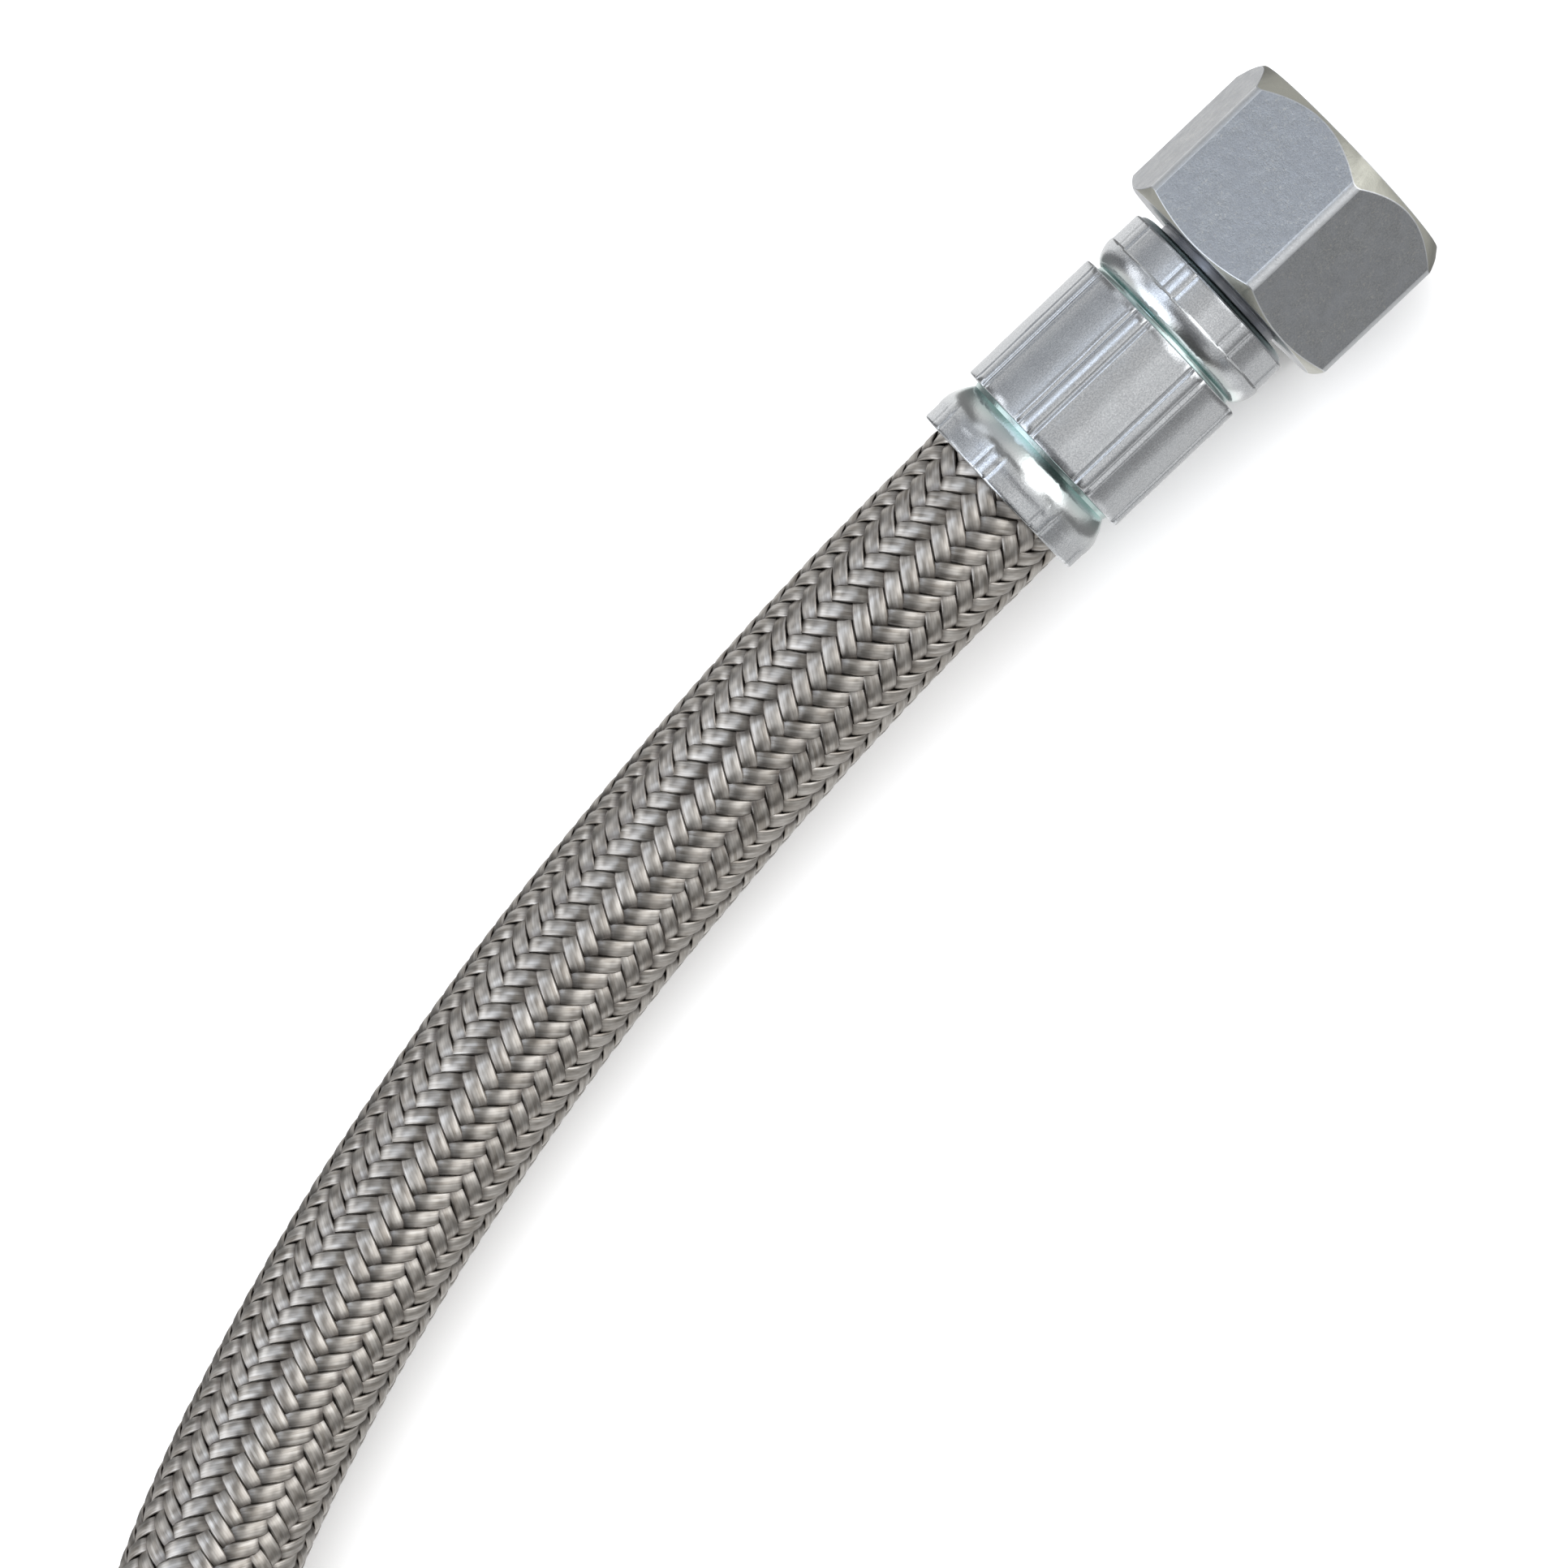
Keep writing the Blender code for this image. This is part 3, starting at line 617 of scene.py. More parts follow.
def smooth_step(low, high, value):
    """0 below low, 1 above high, and a smooth rise between."""
    share = min(max((value - low) / (high - low), 0.0), 1.0)
    return share * share * (3 - 2 * share)


def ferrule_stations():
    """Outline of the ferrule from its nose back to the rear rim.

    Each station is x, radius, rib height, jaw pressure, how smooth the metal is, and 1 where it is crimped.
    """
    front, rear = FERRULE_RIM, FERRULE_REAR
    step = FERRULE_FRONT - 3.0 * MM
    ring = step - PRESSED_STEP
    groove = ring - 2.0 * MM
    crimp_start = groove - 0.4 * MM
    crimp_end = crimp_start - 12.0 * MM
    rear_groove = crimp_end - 0.4 * MM
    rear_step = rear + 1.6 * MM
    pressed = BEAD_RADIUS - PRESSED_STEP
    fall = BEAD_RADIUS - FERRULE_GROOVE_RADIUS
    edge = 0.14 * MM
    front_edge = 1.6 * edge
    rear_edge = 1.4 * edge
    nose_foot = NUT_BACK_RADIUS + 0.22 * MM
    jaw_rib = PRESSED_STEP / RIB_HEIGHT
    stations = []

    def add(x, radius, rib=0.0, jaw=0.0, polish=0.0, crimped=0.0):
        stations.append((x, radius, rib, jaw, polish, crimped))

    # Nose, sloping in to the neck, and the front rim's soft edge
    add(FERRULE_FRONT, NUT_BACK_RADIUS + 0.15 * MM)
    add(FERRULE_FRONT - 0.02 * MM, nose_foot)
    for turn in (65.0, 45.0, 25.0, 8.0):
        share = math.radians(turn)
        add(front + (FERRULE_FRONT - front) * math.sin(share),
            nose_foot + (pressed - 0.34 * MM - nose_foot) * math.cos(share))
    for turn in (20.0, 45.0, 70.0, 90.0):
        share = math.radians(turn)
        add(front - front_edge * (1 - math.cos(share)), pressed - front_edge * (1 - math.sin(share)),
            0.4, 1.0)

    # Zone that the jaws pressed, then the ring that they left, down to the groove
    for at in range(1, 10):
        add(front - front_edge + (step - front + front_edge) * at / 9, pressed, jaw_rib, 1.0)
    add(step + 0.02 * MM, pressed + 0.02 * MM, 0.4, 0.8)
    add(step - 0.05 * MM, pressed + 0.055 * MM, 0.25, 0.5, 0.3)
    add(ring - 0.02 * MM, BEAD_RADIUS, 0.1, 0.2, 0.2)
    for at in range(1, 17):
        turn = math.pi / 2 * at / 16
        add(ring + (groove - ring) * math.sin(turn), FERRULE_GROOVE_RADIUS + fall * math.cos(turn) ** 1.25,
            polish=smooth_step(4, 9, at))
    add(groove - 0.10 * MM, FERRULE_GROOVE_RADIUS, polish=1.0)

    # Crimped length between two sharp, softly rounded edges
    ends = ((0.08, 0.00), (0.60, 0.02), (0.86, 0.05), (0.96, 0.10), (1.0, 0.17))
    overhang = 0.10 * MM
    for share, back in ends:
        add(crimp_start + overhang - back * MM, FERRULE_GROOVE_RADIUS + fall * share, share ** 3, share,
            crimped=share)
    for at in range(1, 20):
        along = at / 20
        reach = 2 * (overhang - ends[-1][1] * MM)
        add(crimp_start + reach / 2 + (crimp_end - crimp_start - reach) * along, BEAD_RADIUS, 1.0, 1.0,
            crimped=1.0)
    for share, back in reversed(ends):
        add(crimp_end - overhang + back * MM, FERRULE_GROOVE_RADIUS + fall * share, share ** 3, share,
            crimped=share)

    # Rear shoulder, a longer slope than the front one, and the rear rim
    for at in reversed(range(0, 15)):
        turn = math.pi / 2 * at / 14
        rib = jaw_rib * max(0.0, 1 - at / 3)
        add(rear_step + (rear_groove - rear_step) * math.sin(turn),
            FERRULE_GROOVE_RADIUS + fall * math.cos(turn) ** 2 - PRESSED_STEP * max(0.0, 1 - at / 3) * 0.6,
            rib, max(0.0, 1 - at / 4), min(1.0, at / 6))
    for at in range(1, 7):
        add(rear_step + (rear + rear_edge - rear_step) * at / 6, pressed, jaw_rib, 1.0)
    for turn in (60.0, 30.0, 0.0):
        share = math.radians(turn)
        add(rear + rear_edge * (1 - math.cos(share)), pressed - rear_edge * (1 - math.sin(share)), 0.4, 1.0)
    return stations


def jaw_wander(x, number, seed):
    """Slow wander of a jaw's mark along the ferrule, from -1 to 1."""
    return noise_from(Vector((x / (2.4 * MM), number * 7.3, seed)))


def ferrule_mesh(mark_seed):
    """Crimped socket with the ribs between its jaws, soft shoulders, a sloping nose and a flared bore."""
    angles = []
    for jaw in range(JAW_COUNT):
        for at in range(SIDES_PER_JAW):
            share = (at + 0.5) / SIDES_PER_JAW * 2 - 1
            bent = 0.5 * share ** 7 + 0.5 * share
            angles.append(RIB_ANGLE + JAW_PITCH * (jaw + 0.5 * bent))
    half_rib = RIB_HALF_WIDTH / BEAD_RADIUS

    def ring(x, radius, rib=0.0, jaw=0.0):
        points = []
        for at, angle in enumerate(angles):
            off = (angle - RIB_ANGLE + JAW_PITCH / 2) % JAW_PITCH - JAW_PITCH / 2
            away = abs(off) / half_rib
            wander = 0.02 * MM * jaw_wander(x, at // SIDES_PER_JAW, mark_seed)
            lift = RIB_HEIGHT * rib * math.cos(math.pi / 2 * min(away, 1.0)) ** 0.35
            lift -= 0.07 * MM * rib ** 2 * math.exp(-((away - 1.22) / 0.20) ** 2)
            uneven = 0.8 + 0.5 * jaw_wander(x, 31 + at // SIDES_PER_JAW, mark_seed)
            lift += 0.055 * MM * rib ** 2 * uneven * math.exp(-((away - 1.80) / 0.26) ** 2)
            flat = 0.10 * MM * jaw * (1 - (off / (JAW_PITCH / 2)) ** 2)
            reach = radius + lift - flat + 0.05 * MM * jaw + wander * jaw
            points.append(Vector((x, -reach * math.sin(angle), reach * math.cos(angle))))
        return points

    stations = ferrule_stations()
    rings = [ring(*station[:4]) for station in stations]
    mouth = HOSE_RADIUS + 0.35 * MM
    bore = HOSE_RADIUS * CRIMP_SQUEEZE + 0.35 * MM
    lip = 4.9 * MM
    inside = [
        (FERRULE_REAR, mouth + 0.18 * MM),
        (FERRULE_REAR + 0.05 * MM, mouth + 0.06 * MM),
        (FERRULE_REAR + 0.2 * MM, mouth),
        (FERRULE_REAR + FERRULE_MOUTH_DEPTH, bore),
        (FERRULE_LIP_BACK, bore),
        (FERRULE_LIP_BACK, lip),
        (FERRULE_RIM, lip),
        (FERRULE_RIM, NUT_BACK_RADIUS),
        (FERRULE_FRONT - 0.05 * MM, NUT_BACK_RADIUS),
        (FERRULE_FRONT, NUT_BACK_RADIUS + 0.05 * MM),
    ]
    rings += [ring(x, radius) for x, radius in inside]
    mesh = loft("ferrule", rings, sharp_angle=math.radians(50))
    fall = BEAD_RADIUS - FERRULE_GROOVE_RADIUS
    marks = {"polish": [], "crimped": [], "depth": []}
    for x, radius, rib, jaw, polish, crimped in stations:
        marks["polish"] += [polish] * len(angles)
        marks["crimped"] += [crimped] * len(angles)
        marks["depth"] += [(BEAD_RADIUS - radius) / fall] * len(angles)
    for name, values in marks.items():
        values += [0.0] * (len(mesh.vertices) - len(values))
        mesh.attributes.new(name, "FLOAT", "POINT").data.foreach_set("value", values)
    return mesh


# Nipple and seal ring

def nipple_mesh():
    """Turned insert with the sealing cone, collar, neck, lock groove and barbed tail."""
    collar_radius = THREAD_MINOR_RADIUS - 0.35 * MM
    neck_radius = 5.8 * MM
    lock_radius = 4.6 * MM
    tail_radius = 3.97 * MM
    barb_radius = 4.37 * MM
    bore_radius = 3.37 * MM
    collar_foot = NUT_SEAT_FOOT - 0.3 * MM + 0.3 * MM * math.sqrt(2)
    collar_back = collar_foot + collar_radius - neck_radius
    cone_start = collar_back + 0.7 * MM
    seal_middle = (seal_low.x + seal_high.x) / 2
    seal_half = 1.0 * MM

    def cone(x):
        return collar_radius - 0.6 * MM - (x - cone_start) * math.tan(math.radians(12))

    groove_bottom = cone(seal_middle) - 1.1 * MM
    shoulder_back = FERRULE_LIP_BACK - 1.6 * MM
    profile = [
        (NOSE_FRONT, cone(NOSE_FRONT) - 0.4 * MM),
        (NOSE_FRONT - 0.4 * MM, cone(NOSE_FRONT - 0.4 * MM)),
        (seal_middle + seal_half, cone(seal_middle + seal_half)),
        (seal_middle + seal_half, groove_bottom),
        (seal_middle - seal_half, groove_bottom),
        (seal_middle - seal_half, cone(seal_middle - seal_half)),
        (cone_start, cone(cone_start)),
        (cone_start, collar_radius),
        (collar_back, collar_radius),
        (collar_foot, neck_radius),
        (FERRULE_RIM + 0.3 * MM, neck_radius),
        (FERRULE_RIM + 0.3 * MM, lock_radius),
        (FERRULE_LIP_BACK - 0.3 * MM, lock_radius),
        (FERRULE_LIP_BACK - 0.3 * MM, neck_radius - 0.3 * MM),
        (shoulder_back, neck_radius - 0.3 * MM),
        (shoulder_back, tail_radius),
    ]
    pitch = 3.3 * MM
    for barb in range(4):
        crest = shoulder_back - (barb + 0.5) * pitch
        profile += [(crest, tail_radius), (crest, barb_radius), (crest - pitch / 2, tail_radius)]
    profile += [
        (TAIL_END, (tail_radius + bore_radius) / 2),
        (TAIL_END, bore_radius + 0.15 * MM),
        (TAIL_END + 0.3 * MM, bore_radius),
        (NOSE_FRONT - 0.3 * MM, bore_radius),
        (NOSE_FRONT, bore_radius + 0.3 * MM),
    ]
    blank_mesh = turned("nipple", profile, 96, sharp_angle=math.radians(25))
    blank = link(bpy.data.objects.new("nipple_blank", blank_mesh))
    soften = blank.modifiers.new("soften", "BEVEL")
    soften.limit_method = "ANGLE"
    soften.angle_limit = math.radians(25)
    soften.width = 0.06 * MM
    soften.segments = 2
    return evaluated_mesh(blank, "nipple")


def seal_mesh():
    """Round-section rubber ring in the cone's groove."""
    middle = (seal_low.x + seal_high.x) / 2
    section = 0.7 * MM
    ring_radius = (seal_high.z - seal_low.z) / 2 - section
    sides = 20
    profile = [(middle + section * math.sin(math.tau * at / sides),
                ring_radius + section * math.cos(math.tau * at / sides)) for at in range(sides)]
    return turned("seal_ring", profile, 96)


# Materials

def new_material(name):
    """An empty Principled material and its graph."""
    material = bpy.data.materials.new(name)
    material.use_nodes = True
    return material, Graph(material.node_tree), material.node_tree.nodes["Principled BSDF"]


def object_place(g, scale=(1.0, 1.0, 1.0)):
    """Object coordinates, stretched by scale."""
    place = g.node("ShaderNodeTexCoord").outputs["Object"]
    return g.node("ShaderNodeMapping", {"Vector": place, "Scale": scale}).outputs["Vector"]


def mesh_value(g, name, output="Fac"):
    """A value that the mesh carries in the named attribute."""
    return g.node("ShaderNodeAttribute", attribute_name=name).outputs[output]


def noise(g, place, scale, detail=2.0, roughness=0.5):
    """Noise value, mostly from 0.3 to 0.7."""
    made = g.node("ShaderNodeTexNoise", {"Vector": place, "Scale": scale, "Detail": detail,
                                         "Roughness": roughness})
    return made.outputs[0]


def spread(g, value, low, high, to_low=0.0, to_high=1.0):
    """Map a value from one range to another, clamped."""
    made = g.node("ShaderNodeMapRange", {"Value": value, "From Min": low, "From Max": high,
                                         "To Min": to_low, "To Max": to_high})
    return made.outputs["Result"]


def blend_colours(g, share, first, second):
    """Mix two colours."""
    made = g.node("ShaderNodeMix", data_type="RGBA")
    g.feed(made.inputs["Factor"], share)
    for socket, colour in ((made.inputs[6], first), (made.inputs[7], second)):
        g.feed(socket, colour if isinstance(colour, bpy.types.NodeSocket) else (*colour, 1.0))
    return made.outputs[2]


def bump(g, shader, height, distance, strength=1.0, under=None):
    """Feed a height to the shader's normal, over an earlier bump if there is one."""
    made = g.node("ShaderNodeBump", {"Height": height, "Distance": distance, "Strength": strength})
    if under is not None:
        g.feed(made.inputs["Normal"], under)
    g.feed(shader.inputs["Normal"], made.outputs["Normal"])
    return made.outputs["Normal"]


def zinc_nut_material():
    """Satin zinc with a fine speckle, a little yellow on the turned chamfers and bright on the edges, partly
    worn plating and partly a painted highlight.
    """
    material, g, shader = new_material("zinc_nut")
    place = object_place(g)
    turned_face = mesh_value(g, "turned")
    wear_and_highlight = mesh_value(g, "wear_and_highlight")
    grain = noise(g, place, 8200.0, 3.0, 0.75)
    fleck = noise(g, place, 4300.0, 2.0, 0.6)
    cloud = noise(g, place, 300.0, 3.0)
    patch = noise(g, place, 950.0, 3.0, 0.6)
    colour = blend_colours(g, spread(g, grain, 0.34, 0.66), (0.34, 0.355, 0.37), (0.54, 0.55, 0.555))
    colour = blend_colours(g, spread(g, fleck, 0.58, 0.70, 0.0, 0.6), colour, (0.70, 0.68, 0.62))
    colour = blend_colours(g, spread(g, patch, 0.42, 0.62, 0.0, 0.35), colour, (0.40, 0.415, 0.44))
    colour = blend_colours(g, spread(g, cloud, 0.35, 0.65, 0.0, 0.4), colour, (0.42, 0.435, 0.465))
    colour = blend_colours(g, g.math("MULTIPLY", turned_face, 0.8), colour, (0.50, 0.495, 0.42))
    # Rounded edges lighter: partly worn plating, partly a painted highlight.
    colour = blend_colours(g, g.math("MULTIPLY", wear_and_highlight, 0.75), colour, (0.78, 0.80, 0.82))
    g.feed(shader.inputs["Base Color"], colour)
    shader.inputs["Metallic"].default_value = 1.0
    g.feed(shader.inputs["Roughness"], spread(g, patch, 0.35, 0.65, 0.28, 0.38))
    under = bump(g, shader, grain, 0.016 * MM)
    bump(g, shader, patch, 0.03 * MM, 1.0, under)
    return material


def zinc_ferrule_material():
    """Bright zinc, speckled where the jaws pressed it, smooth on the shoulders, green in the grooves, where a
    darker teal is a painted reflection of the grooves' own walls.
    """
    material, g, shader = new_material("zinc_ferrule")
    place = object_place(g)
    polish = mesh_value(g, "polish")
    crimped = mesh_value(g, "crimped")
    depth = mesh_value(g, "depth")
    pressed = g.math("SUBTRACT", 1.0, polish)
    grain = noise(g, place, 8800.0, 3.0, 0.75)
    cloud = noise(g, place, 420.0, 2.0)
    dimple = noise(g, place, 5200.0, 1.0)
    along = noise(g, object_place(g, (0.05, 1.0, 1.0)), 6500.0, 2.0, 0.6)
    round_it = noise(g, object_place(g, (1.0, 0.05, 0.05)), 6500.0, 2.0, 0.6)
    pit = spread(g, grain, 0.36, 0.62)
    colour = blend_colours(g, pit, (0.77, 0.785, 0.80), (0.50, 0.515, 0.535))
    colour = blend_colours(g, polish, colour, (0.84, 0.87, 0.86))
    # Painted reflection: darker teal down in the grooves, where the walls mirror each other.
    colour = blend_colours(g, spread(g, depth, 0.25, 0.80), colour, (0.52, 0.66, 0.64))
    colour = blend_colours(g, spread(g, cloud, 0.4, 0.7, 0.0, 0.25), colour, (0.70, 0.73, 0.75))
    g.feed(shader.inputs["Base Color"], colour)
    shader.inputs["Metallic"].default_value = 1.0
    rough = g.math("ADD", g.math("MULTIPLY", pressed, 0.04), spread(g, cloud, 0.35, 0.65, 0.14, 0.20))
    g.feed(shader.inputs["Roughness"], rough)
    scratches = g.node("ShaderNodeMix", {"Factor": crimped})
    g.feed(scratches.inputs[2], round_it)
    g.feed(scratches.inputs[3], along)
    height = g.math("ADD", grain, g.math("MULTIPLY", scratches.outputs[0], 0.6))
    under = bump(g, shader, g.math("MULTIPLY", height, pressed), 0.006 * MM)
    under = bump(g, shader, dimple, 0.006 * MM, 1.0, under)
    bump(g, shader, cloud, 0.016 * MM, 1.0, under)
    return material


def turned_steel_material():
    """Turned steel with fine rings left by the tool, its colour darkened as painted shade for the neck in the
    slot between nut and ferrule.
    """
    material, g, shader = new_material("nipple_steel")
    place = object_place(g, (1.0, 0.08, 0.08))
    rings = noise(g, place, 6500.0, 2.0, 0.6)
    cloud = noise(g, object_place(g), 500.0, 2.0)
    # Dark base colour: painted shade for the neck between nut and ferrule.
    colour = blend_colours(g, spread(g, cloud, 0.35, 0.65), (0.22, 0.23, 0.26), (0.34, 0.35, 0.37))
    g.feed(shader.inputs["Base Color"], colour)
    shader.inputs["Metallic"].default_value = 1.0
    g.feed(shader.inputs["Roughness"], spread(g, rings, 0.3, 0.7, 0.24, 0.40))
    bump(g, shader, rings, 0.012 * MM)
    return material


def seal_rubber_material():
    """Matt black rubber with a little dust."""
    material, g, shader = new_material("seal_rubber")
    place = object_place(g)
    dust = noise(g, place, 2200.0, 3.0, 0.6)
    colour = blend_colours(g, spread(g, dust, 0.45, 0.75), (0.012, 0.012, 0.013), (0.05, 0.05, 0.048))
    g.feed(shader.inputs["Base Color"], colour)
    g.feed(shader.inputs["Roughness"], spread(g, dust, 0.3, 0.7, 0.45, 0.65))
    bump(g, shader, dust, 0.01 * MM)
    return material


def liner_material():
    """Milky smooth plastic."""
    material, g, shader = new_material("liner_plastic")
    cloud = noise(g, object_place(g), 300.0, 2.0)
    g.feed(shader.inputs["Base Color"], blend_colours(g, cloud, (0.70, 0.69, 0.64), (0.82, 0.81, 0.77)))
    g.feed(shader.inputs["Roughness"], spread(g, cloud, 0.3, 0.7, 0.35, 0.5))
    return material


def core_material():
    """Dark shadowed wire under the outer strands."""
    material, g, shader = new_material("braid_core")
    cloud = noise(g, object_place(g), 2600.0, 2.0)
    g.feed(shader.inputs["Base Color"], blend_colours(g, cloud, (0.035, 0.033, 0.030), (0.10, 0.095, 0.085)))
    shader.inputs["Metallic"].default_value = 0.6
    shader.inputs["Roughness"].default_value = 0.55
    return material


def braid_material():
    """Stainless wires lying side by side in each strand, which shine in a fan square to the wires. Painted
    shade darkens the creases between wires, the strands' edges and the ends of floats that dip under the
    other hand.
    """
    material, g, shader = new_material("stainless_braid")
    across = mesh_value(g, "across")
    along = mesh_value(g, "along")
    tone = mesh_value(g, "tone")
    wave = g.math("MULTIPLY", g.math("ADD", across, 1.0), WIRES_IN_STRAND * math.pi / 2)
    wire = g.math("POWER", g.math("ABSOLUTE", g.math("SINE", wave)), 0.6)
    number = g.math("FLOOR", g.math("MULTIPLY", g.math("ADD", across, 1.0), WIRES_IN_STRAND / 2))
    where = g.node("ShaderNodeCombineXYZ", {"X": g.math("MULTIPLY", along, 240.0), "Y": number,
                                            "Z": g.math("MULTIPLY", tone, 40.0)})
    shade = noise(g, where.outputs["Vector"], 1.0, 2.0, 0.6)
    colour = blend_colours(g, spread(g, shade, 0.35, 0.65), (0.36, 0.33, 0.295), (0.66, 0.63, 0.59))
    # Painted shade in the creases between wires.
    crease_shade = g.math("SUBTRACT", 1.0, wire)
    colour = blend_colours(g, g.math("MULTIPLY", crease_shade, 0.22), colour, (0.16, 0.145, 0.13))
    # Painted shade along each strand's edges, where it meets its neighbours.
    edge = spread(g, g.math("ABSOLUTE", across), 0.90, 1.0)
    colour = blend_colours(g, g.math("MULTIPLY", edge, 0.6), colour, (0.10, 0.09, 0.08))
    # Painted shade where each float dips under the other hand's strands.
    lift = mesh_value(g, "lift")
    colour = blend_colours(g, spread(g, lift, -0.1, 0.5, 0.75, 0.0), colour, (0.12, 0.105, 0.095))
    g.feed(shader.inputs["Base Color"], colour)
    shader.inputs["Metallic"].default_value = 1.0
    g.feed(shader.inputs["Roughness"], spread(g, shade, 0.3, 0.7, 0.28, 0.34))
    shader.inputs["Anisotropic"].default_value = 0.86
    shader.inputs["Anisotropic Rotation"].default_value = 0.25
    way = g.node("ShaderNodeVectorTransform", {"Vector": mesh_value(g, "wire_way", "Vector")},
                 vector_type="VECTOR", convert_from="OBJECT", convert_to="WORLD")
    g.feed(shader.inputs["Tangent"], way.outputs["Vector"])
    bump(g, shader, wire, 0.006 * MM, 0.6)
    return material


# Floor and lights

def make_stage():
    """Pale floor under the object. Gloss shows the studio's light there instead of the floor."""
    floor_mesh = bpy.data.meshes.new("floor")
    half = 20.0
    low = -0.1 * MM  # just under the object
    corners = [(-half, -half, low), (half, -half, low), (half, half, low), (-half, half, low)]
    floor_mesh.from_pydata(corners, [], [(0, 1, 2, 3)])
    material, g, shader = new_material("floor")
    shader.inputs["Base Color"].default_value = (0.90, 0.90, 0.90, 1.0)
    shader.inputs["Roughness"].default_value = 0.9
    shader.inputs["Specular IOR Level"].default_value = 0.1
    floor_mesh.materials.append(material)
    floor = link(bpy.data.objects.new("floor", floor_mesh))
    floor.visible_glossy = False


# Studio: an even light tent, with five banks of soft boxes and dark flags in it, each over those before it.
# A bank has its place along X from -1 to 1, its half width, its soft edge, the brightness and blueness
# between its boxes, and the boxes. A box has its degrees round the fitting's axis, from straight up towards
# -Y, its half width, its soft edge, its brightness and how blue it is.
TENT_BRIGHTNESS = 0.66
STUDIO_BANKS = (
    # On the hose's side, for the braid
    (-0.36, 0.14, 0.16, (0.20, 0.3), (
        (-56, 8, 12, 1.50, 0.5),
        (-15, 8, 10, 1.40, 1.5),
        (74, 6, 8, 0.60, 0.0),
        (124, 12, 12, 0.85, 0.0),
        (180, 25, 18, 1.10, 0.0),
    )),
    # On the nut's side, for the braid
    (0.34, 0.10, 0.14, (0.22, 0.0), (
        (-46, 6, 10, 0.85, 0.5),
        (42, 12, 12, 1.80, 0.0),
        (80, 6, 8, 0.60, 0.0),
    )),
    # Large box and flag far out on the hose's side
    (-0.82, 0.24, 0.16, (TENT_BRIGHTNESS, 0.0), (
        (-18, 20, 26, 1.80, 0.9),
        (62, 28, 14, 0.08, 0.0),
    )),
    # Large box and flag far out on the nut's side
    (0.82, 0.26, 0.18, (TENT_BRIGHTNESS, 0.0), (
        (52, 26, 24, 1.90, 0.1),
        (-40, 12, 20, 0.48, 0.5),
    )),
    # Straight over and beside the fitting
    (0.00, 0.11, 0.10, (TENT_BRIGHTNESS, 0.0), (
        (-57, 14, 16, 0.44, 0.6),
        (-130, 18, 18, 0.96, 0.0),
        (50, 14, 16, 0.80, 0.0),
        (98, 6, 14, 0.31, 0.0),
        (-20, 6, 10, 0.86, 1.0),
        (-10, 3, 5, 1.80, 1.8),
    )),
)


def light_colour(bright, blue):
    """Grey light of one brightness, a little blue or yellow."""
    return bright * (1 - 0.05 * blue), bright, bright * (1 + 0.08 * blue)


def inside(g, off, half, soft):
    """1 where the distance from a box's middle is inside it, 0 past its soft edge."""
    made = g.node("ShaderNodeMapRange", {"Value": g.math("ABSOLUTE", off), "From Min": half,
                                         "From Max": half + soft, "To Min": 1.0, "To Max": 0.0},
                  interpolation_type="SMOOTHSTEP")
    return made.outputs["Result"]


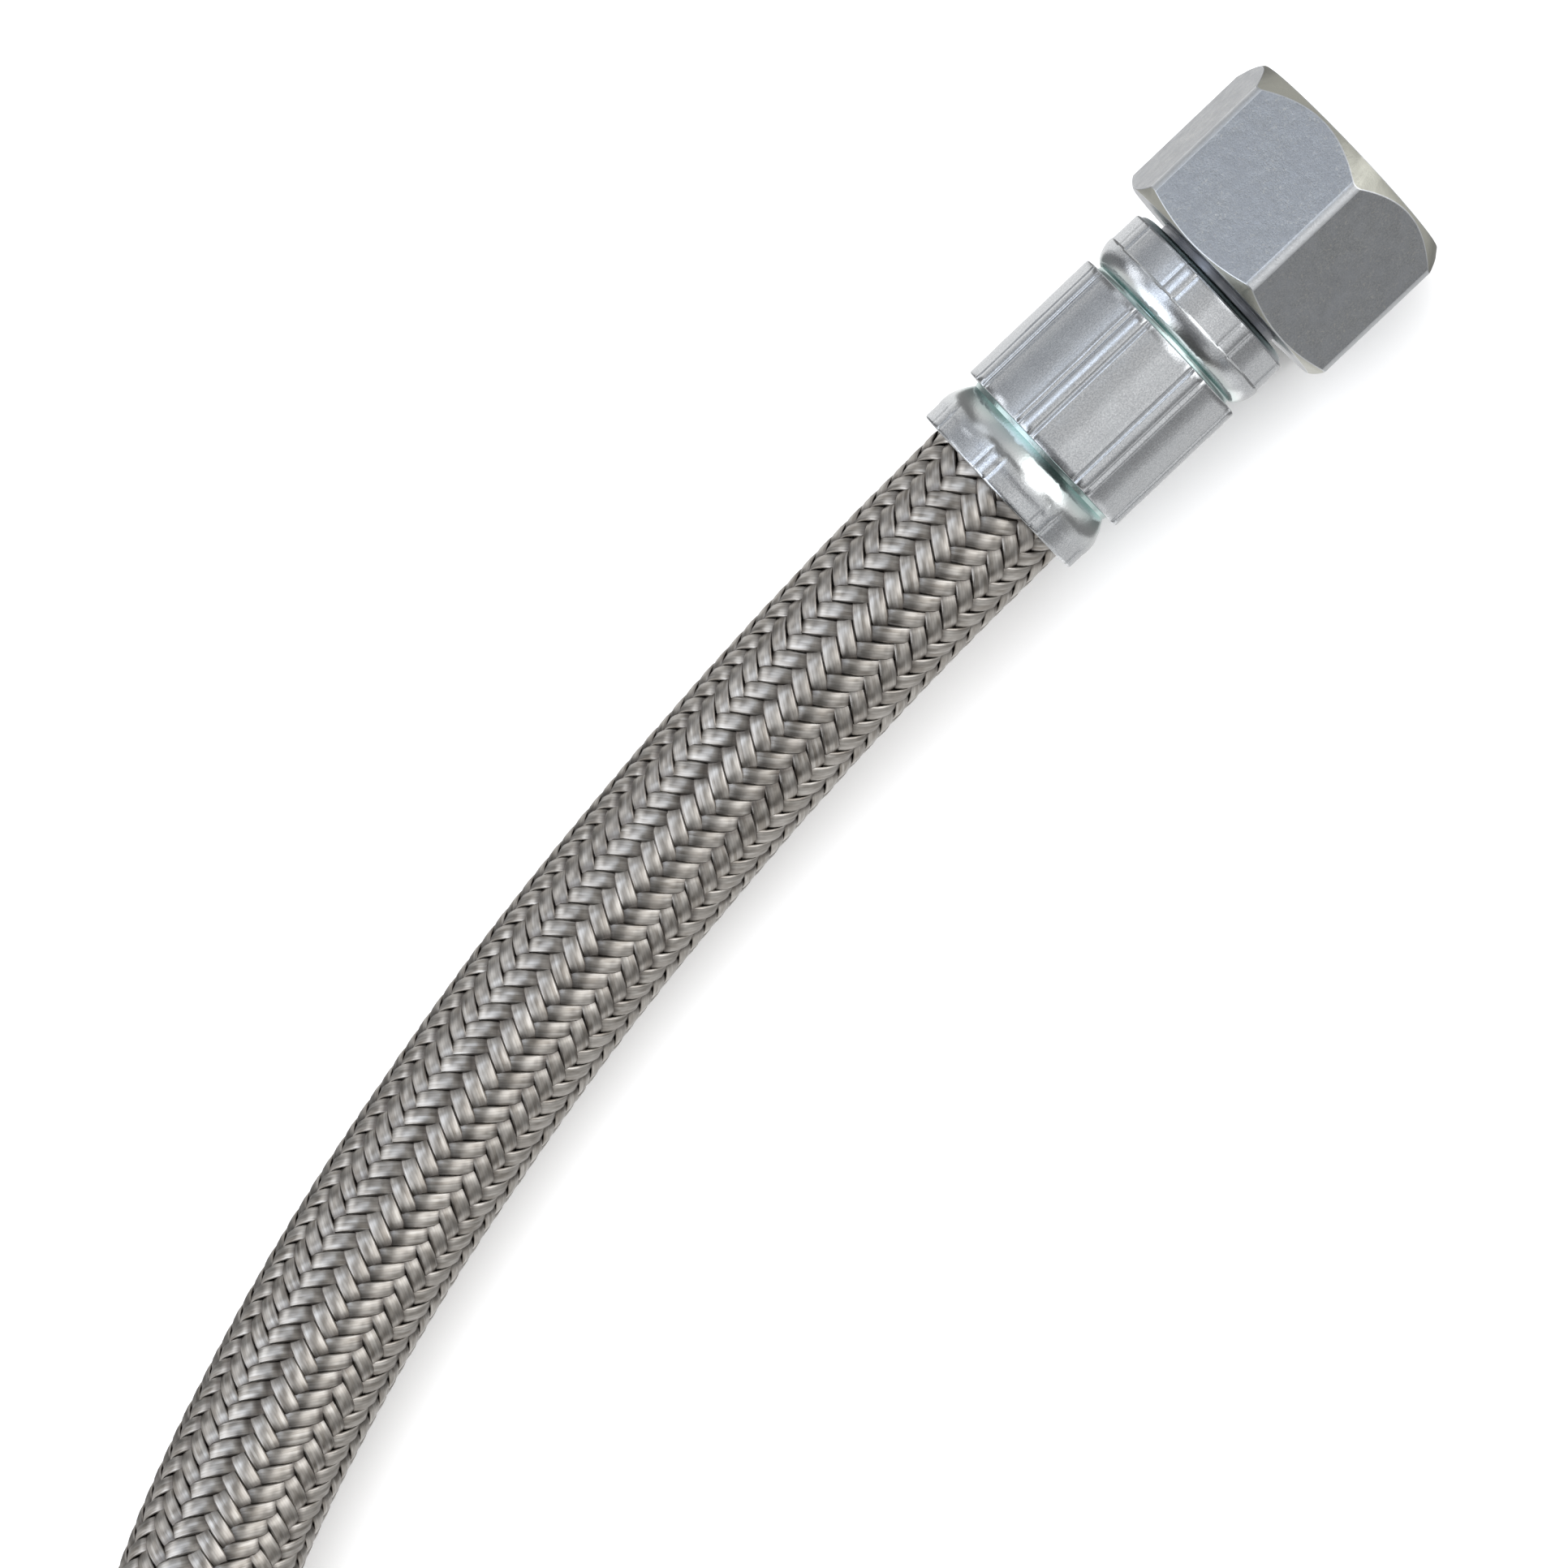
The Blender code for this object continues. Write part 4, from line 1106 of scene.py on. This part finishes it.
def make_lights():
    """A light tent with boxes and flags round the fitting's axis, which gloss shows, and two soft lamps."""
    world = bpy.data.worlds.new("studio")
    bpy.context.scene.world = world
    world.use_nodes = True
    g = Graph(world.node_tree)
    toward = g.node("ShaderNodeSeparateXYZ", {"Vector": g.node("ShaderNodeTexCoord").outputs["Generated"]})
    turn = g.math("ARCTAN2", g.math("MULTIPLY", toward.outputs["Y"], -1.0), toward.outputs["Z"])
    studio = light_colour(TENT_BRIGHTNESS, 0.0)
    for along, half_along, soft_along, between, boxes in STUDIO_BANKS:
        bank = light_colour(*between)
        for degrees, half_turn, soft_turn, bright, blue in boxes:
            off = g.math("WRAP", g.math("SUBTRACT", turn, math.radians(degrees)), math.pi, -math.pi)
            share = inside(g, off, math.radians(half_turn), math.radians(soft_turn))
            bank = blend_colours(g, share, bank, light_colour(bright, blue))
        share = inside(g, g.math("SUBTRACT", toward.outputs["X"], along), half_along, soft_along)
        studio = blend_colours(g, share, studio, bank)
    g.feed(world.node_tree.nodes["Background"].inputs["Color"], studio)
    for name, toward_lamp, wide, power in (("overhead", (0.0, 0.0, 1.0), 160.0, 3.2),
                                           ("key", (0.35, 0.9, 1.3), 60.0, 0.6)):
        lamp = bpy.data.lights.new(name, "SUN")
        lamp.angle = math.radians(wide)
        lamp.energy = power
        made = link(bpy.data.objects.new(name, lamp))
        made.visible_glossy = False
        made.matrix_world = Vector(toward_lamp).to_track_quat("Z", "Y").to_matrix().to_4x4()


def make_fitting(end, nut, ridge, materials):
    """One end's nut with its thread, nipple, seal ring and ferrule."""
    place = Matrix.Translation(FITTING_PLACE[end])
    shapes = (
        ("swivel_nut", nut.copy(), f"{end}_nut", "zinc_nut"),
        ("nipple", nipple_mesh(), "hose_assembly", "nipple_steel"),
        ("seal_ring", seal_mesh(), "hose_assembly", "seal_rubber"),
        ("ferrule", ferrule_mesh(JAW_MARK_SEEDS[end]), "hose_assembly", "zinc_ferrule"),
    )
    pieces = []
    for name, mesh, body, slot in shapes:
        mesh.transform(place)
        pieces.append(finish_piece(f"{end}_{name}_shape", mesh, materials[slot], body,
                                   (f"{end}_{name}",)))
    thread = ridge.copy()
    thread.transform(place)
    finish_piece(f"{end}_nut_thread", thread, materials["zinc_nut"], f"{end}_nut")
    return pieces


def main():
    make_camera()
    make_stage()
    make_lights()

    materials = {
        "zinc_nut": zinc_nut_material(),
        "zinc_ferrule": zinc_ferrule_material(),
        "nipple_steel": turned_steel_material(),
        "seal_rubber": seal_rubber_material(),
        "liner_plastic": liner_material(),
    }
    nut = nut_mesh()
    ridge = thread_ridge()
    fitting_pieces = {end: make_fitting(end, nut, ridge, materials) for end in ENDS}

    line = hose_line(HOSE_INTO_FERRULE, 1.5 * MM)
    liner = hollow_tube("liner", line, LINER_OUTER_RADIUS, LINER_BORE_RADIUS, 32)
    finish_piece("liner_tube", liner, materials["liner_plastic"], "hose_assembly",
                 ("hose_liner",))
    core = hollow_tube("core", line, CORE_RADIUS, LINER_OUTER_RADIUS + 0.05 * MM, 36)
    core_piece = finish_piece("braid_underlay", core, core_material(), "hose_assembly",
                              ("hose_braid",))
    strands = make_braid(braid_material())

    scene = bpy.context.scene
    scene.view_settings.view_transform = "Standard"
    scene.view_settings.look = "None"


main()
